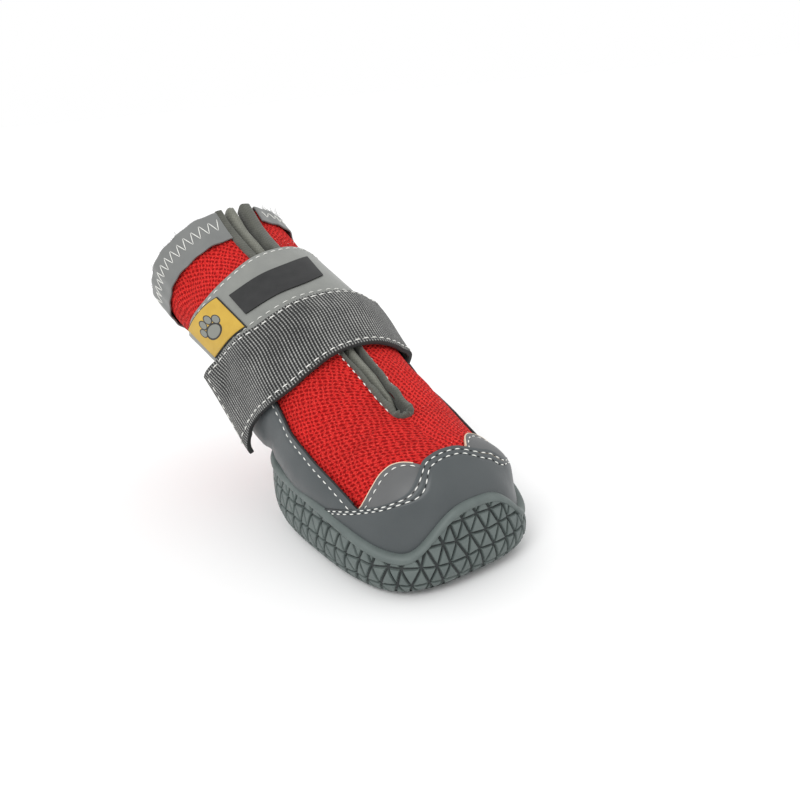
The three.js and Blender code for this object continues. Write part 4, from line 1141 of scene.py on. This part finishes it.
def webbing_out(place, degrees, share):
    lift = WEBBING_LIFT * ease((LIFT_START - degrees) / (LIFT_START - WEBBING_END))
    return strap_bed(place, degrees, True) + lift + WEBBING_LEAN * ease(share * 1.3) + WEBBING_OUT


def reflective_out(place, degrees):
    return strap_bed(place, degrees, False) + REFLECTIVE_OUT


def webbing_place(degrees, share):
    return mix(charted(WEBBING_LOW, degrees), charted(STRAP_JOINT, degrees), share)


def reflective_place(degrees, share):
    return mix(charted(STRAP_JOINT, degrees) - STRAP_OVERLAP, charted(REFLECTIVE_TOP, degrees), share)


def webbing_point(degrees, share, lift=0.0):
    """A point of the webbing's face. Its free end stands off the boot with a straight edge."""

    def on_boot(at):
        place = webbing_place(degrees, at)
        return skin(place, np.radians(degrees), webbing_out(place, degrees, at) + lift)

    straight = mix(on_boot(0 * share), on_boot(0 * share + 1), share[..., None])
    straightened = END_STRAIGHTNESS * ease((STRAIGHT_START - degrees) / (STRAIGHT_START - WEBBING_END))
    return mix(on_boot(share), straight, straightened[..., None])


def webbing_strap():
    def where(u, v, lift):
        return webbing_point(mix(WEBBING_END, STRAP_ROOT, u), v, lift)

    piece = laid("webbing_tape", 260, 40, where, "webbing", ("webbing_strap",), [WEBBING, WEBBING_EDGE])
    thicken(piece, thickness=1.6, edge=0.3, rim=1)


def reflective_strap():
    def where(u, v, lift):
        degrees = mix(REFLECTIVE_END, STRAP_ROOT, u)
        return on_strap(reflective_place(degrees, v), degrees, lift)

    piece = laid("reflective_tape_strap", 260, 44, where, "reflective_tape", ("reflective_strap",),
                 [STRAP_TAPE, DARK_EDGE])
    thicken(piece, thickness=0.9, edge=0.25, rim=1)


# Corners of the plates on the reflective strap, as place and degrees: front right, back right, back left and
# front left
NAME_PLATE = [(9.5, -47), (10.38, -48), (10.48, 23), (9.43, 16)]
NAME_PLATE_SAG = 3.0  # in the middle of its long edges, which makes them look straight from the camera
BADGE = [(9.28, -53), (10.7, -56), (11.56, -98), (10.7, -101)]
PLATE_THICK, BORDER_THICK, BADGE_THICK = 0.5, 0.35, 0.6
BORDER_SHARE = 0.03  # of the badge's size that its border shows on each side


def on_strap(place, degrees, lift=0.0):
    return skin(place, np.radians(degrees), reflective_out(place, degrees) + lift)


def between_corners(corners, u, v):
    """Points spread evenly between four corners, given as front right, back right, back left, front left."""
    edges = [mix(corners[a], corners[b], v[..., None]) for a, b in ((0, 1), (3, 2))]
    return mix(*edges, u[..., None])


def plate_places(corners, u, v):
    """Place and degrees over the strap of the points of a flat plate, straight between its corners. Each
    round of the search moves them nearer by the slopes of the strap's face."""
    corners = np.array(corners, float)
    wanted = between_corners(on_strap(*corners.T), u, v)
    places = between_corners(corners, u, v)
    step = np.diag([0.02, 1.0])
    for _ in range(6):
        here = on_strap(places[..., 0], places[..., 1])
        moved = (places + row for row in step)
        slopes = [(on_strap(at[..., 0], at[..., 1]) - here) / step[i, i] for i, at in enumerate(moved)]
        miss = wanted - here
        a, b, c = (np.sum(slopes[i] * slopes[j], -1) for i, j in ((0, 0), (0, 1), (1, 1)))
        p, q = (np.sum(slope * miss, -1) for slope in slopes)
        places = places + np.stack([c * p - b * q, a * q - b * p], -1) / (a * c - b * b)[..., None]
    return places


def plate(name, node_name, corners, slot, material, thickness, grow=0.0, replaces=True, sag=0.0):
    """A thin plate on the reflective strap. It may reach past its corners by a share of its size."""

    def where(u, v, lift):
        at = plate_places(corners, mix(-grow, 1 + grow, u), mix(-grow, 1 + grow, v))
        place, degrees = at[..., 0], at[..., 1]
        place = place - sag * 4 * u * (1 - u) / pace(place, np.radians(degrees))
        return on_strap(place, degrees, thickness + lift)

    piece = laid(name, 60, 30, where, slot, (node_name,) if replaces else (), [material])
    thicken(piece, thickness=thickness - 0.05, edge=0.12)


# Thread
THREAD_FLAT = 0.85  # how tall a thread lies, as a share of its width
THREAD_BEND = 0.9  # how far its ends dip, as a share of its radius
THREAD_SINK = 0.04
LEG_FILL = 0.96  # share of a zigzag's leg that its stitch covers
CAP_NEEDLE = dict(material=DARK_THREAD, length=0.9, space=1.6, radius=0.16, shift=0.5)
COUNTER_THREAD = dict(length=1.6)
BINDING_THREAD = dict(space=1.2, radius=0.2)
REFLECTIVE_THREAD = dict(length=1.9, space=1.1)
WEBBING_THREAD = dict(length=2.0, space=0.9, radius=0.2)
WEBBING_END_THREAD = dict(WEBBING_THREAD, length=1.9)


def along_path(path, walked, at):
    """Points of a path at lengths from its start."""
    return np.stack([np.interp(at, walked, path[:, k]) for k in range(3)], -1)


def stitched(name, path, normals, slot, material=WHITE_THREAD, length=1.5, space=1.0, radius=0.18,
             shift=0.0, legs=0):
    """A row of thread stitches along a path of points in mm, each a small bent bead of thread. Legs is the
    number of straight stretches of a zigzag, each of which takes one stitch."""
    walked = walked_along(path)
    count = legs or max(int(walked[-1] / (length + space)), 1)
    bm = bmesh.new()
    for i in range(count):
        middle = (i + 0.5 + shift) * walked[-1] / count
        if middle > walked[-1]:
            continue
        if legs:
            each = (len(path) - 1) // legs
            start, end = walked[i * each], walked[(i + 1) * each]
            middle, length = (start + end) / 2, (end - start) * LEG_FILL
        start, centre, end = along_path(path, walked, [middle - length / 2, middle, middle + length / 2])
        along = unit(end - start)
        up = along_path(normals, walked, middle)
        up = unit(up - along * (up @ along))
        side = np.cross(up, along)
        for vert in bmesh.ops.create_uvsphere(bm, u_segments=6, v_segments=5, radius=1.0)["verts"]:
            x, y, z = vert.co
            height = radius * (y * THREAD_FLAT + (1 - z * z) * THREAD_BEND) - THREAD_SINK
            vert.co = (centre + along * (z * length / 2) + side * (x * radius) + up * height) * MM
    finished(name, bm, slot, (), [material])


def leather_or_skin(slot):
    """The surface that thread of a slot lies on: the cap's leather swells over the rim of the sole."""
    return leather_on if slot == "cap_leather" else skin


def thread_row(name, place, degrees, out, slot="cap_leather", **sizes):
    """Stitches along arrays of place and degrees on the upper, at a height over it."""
    surface, angle = leather_or_skin(slot), np.radians(degrees)
    path = surface(place, angle, out)
    stitched(name, path, surface(place, angle, out + 1.0) - path, slot, **sizes)


def inset_from_edge(edge, degrees, distance):
    return edge - distance / pace(edge, np.radians(degrees))


CAP_THREAD_REACH = 100  # degrees to each side
SMOOTHED = 13  # points over which the cap's seams round off the cloud shape's corners
COUNTER_THREAD_REACH = (4.3, 8.9)  # sections


def cap_threads():
    degrees = np.linspace(-CAP_THREAD_REACH, CAP_THREAD_REACH, 500)
    for name, distance in zip(("near", "far"), CAP_STITCHES):
        place = inset_from_edge(charted(CAP_EDGE, degrees), degrees, distance)
        padded = np.pad(place, SMOOTHED // 2, mode="edge")
        place = np.convolve(padded, np.ones(SMOOTHED) / SMOOTHED, "valid")
        thread_row(f"cap_thread_{name}", place, degrees, CAP_OUT - STITCH_SINK)
        thread_row(f"cap_needle_{name}", place, degrees, CAP_OUT - STITCH_SINK, **CAP_NEEDLE)


def petal_threads():
    for side, chart, first, last in (("right", PETAL_EDGE, -72, -25), ("left", FAR_PETAL_EDGE, 13, 72)):
        degrees = np.linspace(first, last, 200)
        edge = charted(chart, degrees)
        place = inset_from_edge(edge, degrees, PETAL_STITCH)
        thread_row(f"petal_thread_{side}", place, degrees, PETAL_OUT - STITCH_SINK + 0.02, "petal_leather")
        raw_edge(f"petal_edge_{side}", edge, degrees, PETAL_OUT - 0.12, "petal_leather", RAW_EDGE, 0.2)


def counter_threads():
    place = np.linspace(*COUNTER_THREAD_REACH, 400)
    edge = charted(COUNTER_EDGE, place)
    per_degree = face_point(place, np.radians(edge + 1)) - face_point(place, np.radians(edge))
    seam = edge + COUNTER_STITCH / np.linalg.norm(per_degree, axis=-1)
    for side, sign in (("right", -1), ("left", 1)):
        thread_row(f"counter_thread_{side}", place, sign * seam, COUNTER_OUT - STITCH_SINK, **COUNTER_THREAD)
        raw_edge(f"counter_edge_{side}", place, sign * edge, COUNTER_OUT - 0.45, "cap_leather", DARK_THREAD,
                 0.32)


def raw_edge(name, place, degrees, out, slot, material, radius):
    """The raw cut edge of a leather piece, as a thin line of its backing."""
    last = 119  # steps along the edge
    off_edge = (0.3, 0.2, 0.9)  # a way that no raw edge of the boot runs
    path = leather_or_skin(slot)(place, np.radians(degrees), out)
    walked = walked_along(path)
    path = along_path(path, walked, np.linspace(0, walked[-1], last + 1))
    bm = bmesh.new()
    bmesh.ops.create_cone(bm, cap_ends=True, segments=8, radius1=1.0, radius2=1.0, depth=1.0)
    bmesh.ops.subdivide_edges(bm, edges=upright_edges(bm), cuts=last - 1)
    for vert in bm.verts:
        i = min(round((vert.co.z + 0.5) * last), last)
        along = path[min(i + 1, last)] - path[max(i - 1, 0)]
        side = unit(np.cross(along, off_edge))
        over = unit(np.cross(along, side))
        vert.co = (path[i] + (side * vert.co.x + over * vert.co.y) * radius) * MM
    bmesh.ops.recalc_face_normals(bm, faces=bm.faces)
    finished(name, bm, slot, (), [material])


def upright_edges(bm):
    return [edge for edge in bm.edges if abs(edge.verts[0].co.z - edge.verts[1].co.z) > 0.5]


def binding_threads():
    place = np.linspace(SLIT_END + 0.25, 7.6, 200)
    for side, sign in (("right", -1), ("left", 1)):
        left = sign * (slit_half(place) + BINDING_WIDTH[0] + 0.35)
        thread_row(f"binding_thread_{side}", place, np.degrees(crest_angle(place, left)), 0.12, "binding",
                   **BINDING_THREAD)


SEAM_MARGIN = 3  # degrees between a seam's end and the strap's
REFLECTIVE_SEAMS = (("top", 1.0, 1.4), ("low", 0.0, -4.5))  # an edge as a share of the width, mm down from it
WEBBING_SEAMS = dict(top=0.94, low=0.06)  # shares of its width
WEBBING_SEAM_END = WEBBING_END + 4.0


def strap_threads():
    degrees = np.linspace(REFLECTIVE_END + SEAM_MARGIN, STRAP_ROOT - SEAM_MARGIN, 600)
    for name, share, down in REFLECTIVE_SEAMS:
        place = inset_from_edge(reflective_place(degrees, share), degrees, down)
        thread_row(f"reflective_thread_{name}", place, degrees, reflective_out(place, degrees),
                   "reflective_tape", **REFLECTIVE_THREAD)
    degrees = np.linspace(WEBBING_SEAM_END, STRAP_ROOT - SEAM_MARGIN, 600)
    for name, share in WEBBING_SEAMS.items():
        place = webbing_place(degrees, share)
        thread_row(f"webbing_thread_{name}", place, degrees, webbing_out(place, degrees, share), "webbing",
                   **WEBBING_THREAD)
    share = np.linspace(WEBBING_SEAMS["low"], WEBBING_SEAMS["top"], 60)
    degrees = np.full(60, WEBBING_SEAM_END)
    path = webbing_point(degrees, share)
    stitched("webbing_thread_end", path, webbing_point(degrees, share, 1.0) - path, "webbing",
             **WEBBING_END_THREAD)


ZIGZAGS = 46
ZIGZAG_DEPTHS = (0.18, 0.6)  # shares of the tape's height down from its edge
ZIGZAG_MARGINS = (0.08, 0.04)  # radians at the two ends of the tape


def collar_zigzag():
    """White zigzag seam round the collar tape."""
    legs = 2 * ZIGZAGS
    (start, end), (after, before) = collar_ends(), ZIGZAG_MARGINS
    corners = np.arange(legs + 1)
    angles = np.linspace(start + after, end - before, legs + 1)
    down = np.array(ZIGZAG_DEPTHS)[corners % 2] * collar_height(angles)
    dense = np.linspace(0, legs, legs * 4 + 1)
    angle, drop = np.interp(dense, corners, angles), np.interp(dense, corners, down)
    path = collar_point(angle, drop, COLLAR_OUT)
    normals = collar_point(angle, drop, COLLAR_OUT + 1.0) - path
    stitched("collar_thread", path, normals, "reflective_tape", radius=0.16, legs=legs)


def fibre_template():
    """One straight fibre of unit height, cut across so that it can bend."""
    bm = bmesh.new()
    bmesh.ops.create_cone(bm, cap_ends=True, segments=3, radius1=1.0, radius2=0.5, depth=1.0)
    bmesh.ops.subdivide_edges(bm, edges=upright_edges(bm), cuts=3)
    return mesh_of("fibre", bm)


FIBRE_RADIUS = 0.07
FIBRE_SPREAD, FIBRE_BEND = 0.45, 0.25
FIBRE_ROOTS = (-1.5, 1.2)  # out from the upper
FIBRE_RISE = 0.8  # of the roots over the shell's edge
# How many loose fibres stand where, with their seed, their angles in radians and their lengths
FRAYED = (("collar_fibres_far", FIBRE, 260, 11, (0.45, 1.7), (0.8, 2.8)),
          ("collar_fibres_near", DARK_THREAD, 300, 12, (4.0, 5.85), (0.4, 1.3)),
          ("collar_fibres_back", FIBRE, 120, 13, (1.7, 4.0), (0.5, 1.6)))


def frayed_fibres(name, count, seed, reach, lengths, material):
    """Loose fibres along the cut top edge of the collar tape, between two angles in radians."""
    chance = np.random.default_rng(seed)
    angles = chance.uniform(*reach, count)
    up = mouthward(angles)
    roots = skin(np.full(count, LAST - 0.05), angles, chance.uniform(*FIBRE_ROOTS, count))
    roots = roots + up * FIBRE_RISE
    template = fibre_template()
    straight = np.array([vert.co for vert in template.vertices])
    bm = bmesh.new()
    for _ in range(count):
        bm.from_mesh(template)
    bpy.data.meshes.remove(template)
    share = straight[:, 2:] + 0.5
    length = chance.uniform(*lengths, (count, 1, 1))
    ways = (up + chance.normal(0, FIBRE_SPREAD, (count, 3)))[:, None]
    bends = chance.normal(0, FIBRE_BEND, (count, 1, 3)) * length
    round_it = straight * (FIBRE_RADIUS, FIBRE_RADIUS, 0)
    points = roots[:, None] + ways * share * length + bends * share**2 + round_it
    for vert, point in zip(bm.verts, points.reshape(-1, 3)):
        vert.co = point * MM
    bmesh.ops.recalc_face_normals(bm, faces=bm.faces)
    finished(name, bm, "reflective_tape", (), [material])


def build():
    outsole_side()
    blocks()
    rim()
    tread()
    insole()
    upper()
    toe_cap()
    petal("petal_right", "toe_lobe_right", PETAL_EDGE, -75, -22)
    petal("petal_left", "toe_lobe_left", FAR_PETAL_EDGE, 11, 75)
    counter()
    throat_binding()
    gusset()
    collar_band()
    webbing_strap()
    reflective_strap()
    plate("name_patch", "name_plate", NAME_PLATE, "plate_rubber", PLATE_RUBBER, PLATE_THICK,
          sag=NAME_PLATE_SAG)
    plate("badge_border", "badge", BADGE, "badge_rubber", DARK_EDGE, BORDER_THICK,
          grow=BORDER_SHARE, replaces=False)
    plate("badge_patch", "badge", BADGE, "badge_rubber", BADGE_RUBBER, BADGE_THICK)
    cap_threads()
    petal_threads()
    counter_threads()
    binding_threads()
    strap_threads()
    collar_zigzag()
    for name, material, count, seed, reach, lengths in FRAYED:
        frayed_fibres(name, count, seed, reach, lengths, material)


# Camera, worked out from the photograph's view of the sole's rim and the boot's outline. Angles are in
# degrees, and right and up are how far it stands to the side of the line of sight through the origin.
CAMERA = dict(elevation=19.891, azimuth=32.463, roll=-5.412, distance=269.0, right=3.62, up=37.49)
SENSOR = 36.0
FOCAL_PIXELS = 883


def camera():
    e, a, r = (math.radians(CAMERA[key]) for key in ("elevation", "azimuth", "roll"))
    right = np.array([math.sin(a), math.cos(a), 0])
    level = np.array([math.cos(a), -math.sin(a), 0])
    up = -level * math.sin(e) + np.array([0, 0, math.cos(e)])
    back = level * math.cos(e) + np.array([0, 0, math.sin(e)])
    right, up = right * math.cos(r) + up * math.sin(r), -right * math.sin(r) + up * math.cos(r)
    data = bpy.data.cameras.new("camera")
    data.sensor_width = SENSOR
    data.lens = SENSOR * FOCAL_PIXELS / IMAGE_SIDE
    data.clip_start, data.clip_end = 0.01, 10
    made = placed("camera", data)
    made.rotation_mode = "QUATERNION"
    made.rotation_quaternion = Matrix(np.array([right, up, back]).T.tolist()).to_quaternion()
    made.location = Vector((back * CAMERA["distance"] + right * CAMERA["right"] + up * CAMERA["up"]) * MM)
    bpy.context.scene.camera = made


def sun(name, direction, softness, strength):
    """A broad soft lamp, far enough away to light the floor evenly. Its softness is in degrees."""
    data = bpy.data.lights.new(name, "SUN")
    data.angle = math.radians(softness)
    data.energy = strength
    made = placed(name, data)
    made.location = direction
    made.rotation_mode = "QUATERNION"
    made.rotation_quaternion = (-Vector(direction)).to_track_quat("-Z", "Y")


FLOOR_SIZE = 20.0  # metres
FLOOR_GAP = 0.2  # under the sole, in mm


def studio():
    """A pale floor in a soft white room."""
    bm = bmesh.new()
    bmesh.ops.create_grid(bm, x_segments=8, y_segments=8, size=FLOOR_SIZE)
    floor = placed("floor", mesh_of("floor", bm))
    floor.location.z = -FLOOR_GAP * MM
    material, _, shader = new_material("pale floor", 0.85)
    shader.inputs["Base Color"].default_value = linear("#f2f2f2")
    floor.data.materials.append(material)
    world = bpy.data.worlds.new("soft white room")
    world.use_nodes = True
    background = world.node_tree.nodes["Background"]
    background.inputs["Color"].default_value = (1, 1, 1, 1)
    background.inputs["Strength"].default_value = 1.0
    bpy.context.scene.world = world
    sun("key light", (0.45, -0.75, 0.95), 25, 1.1)
    sun("fill light", (0.6, 0.75, 0.5), 60, 0.2)
    bpy.context.scene.view_settings.view_transform = "Standard"


build()
camera()
studio()
bpy.context.view_layer.update()
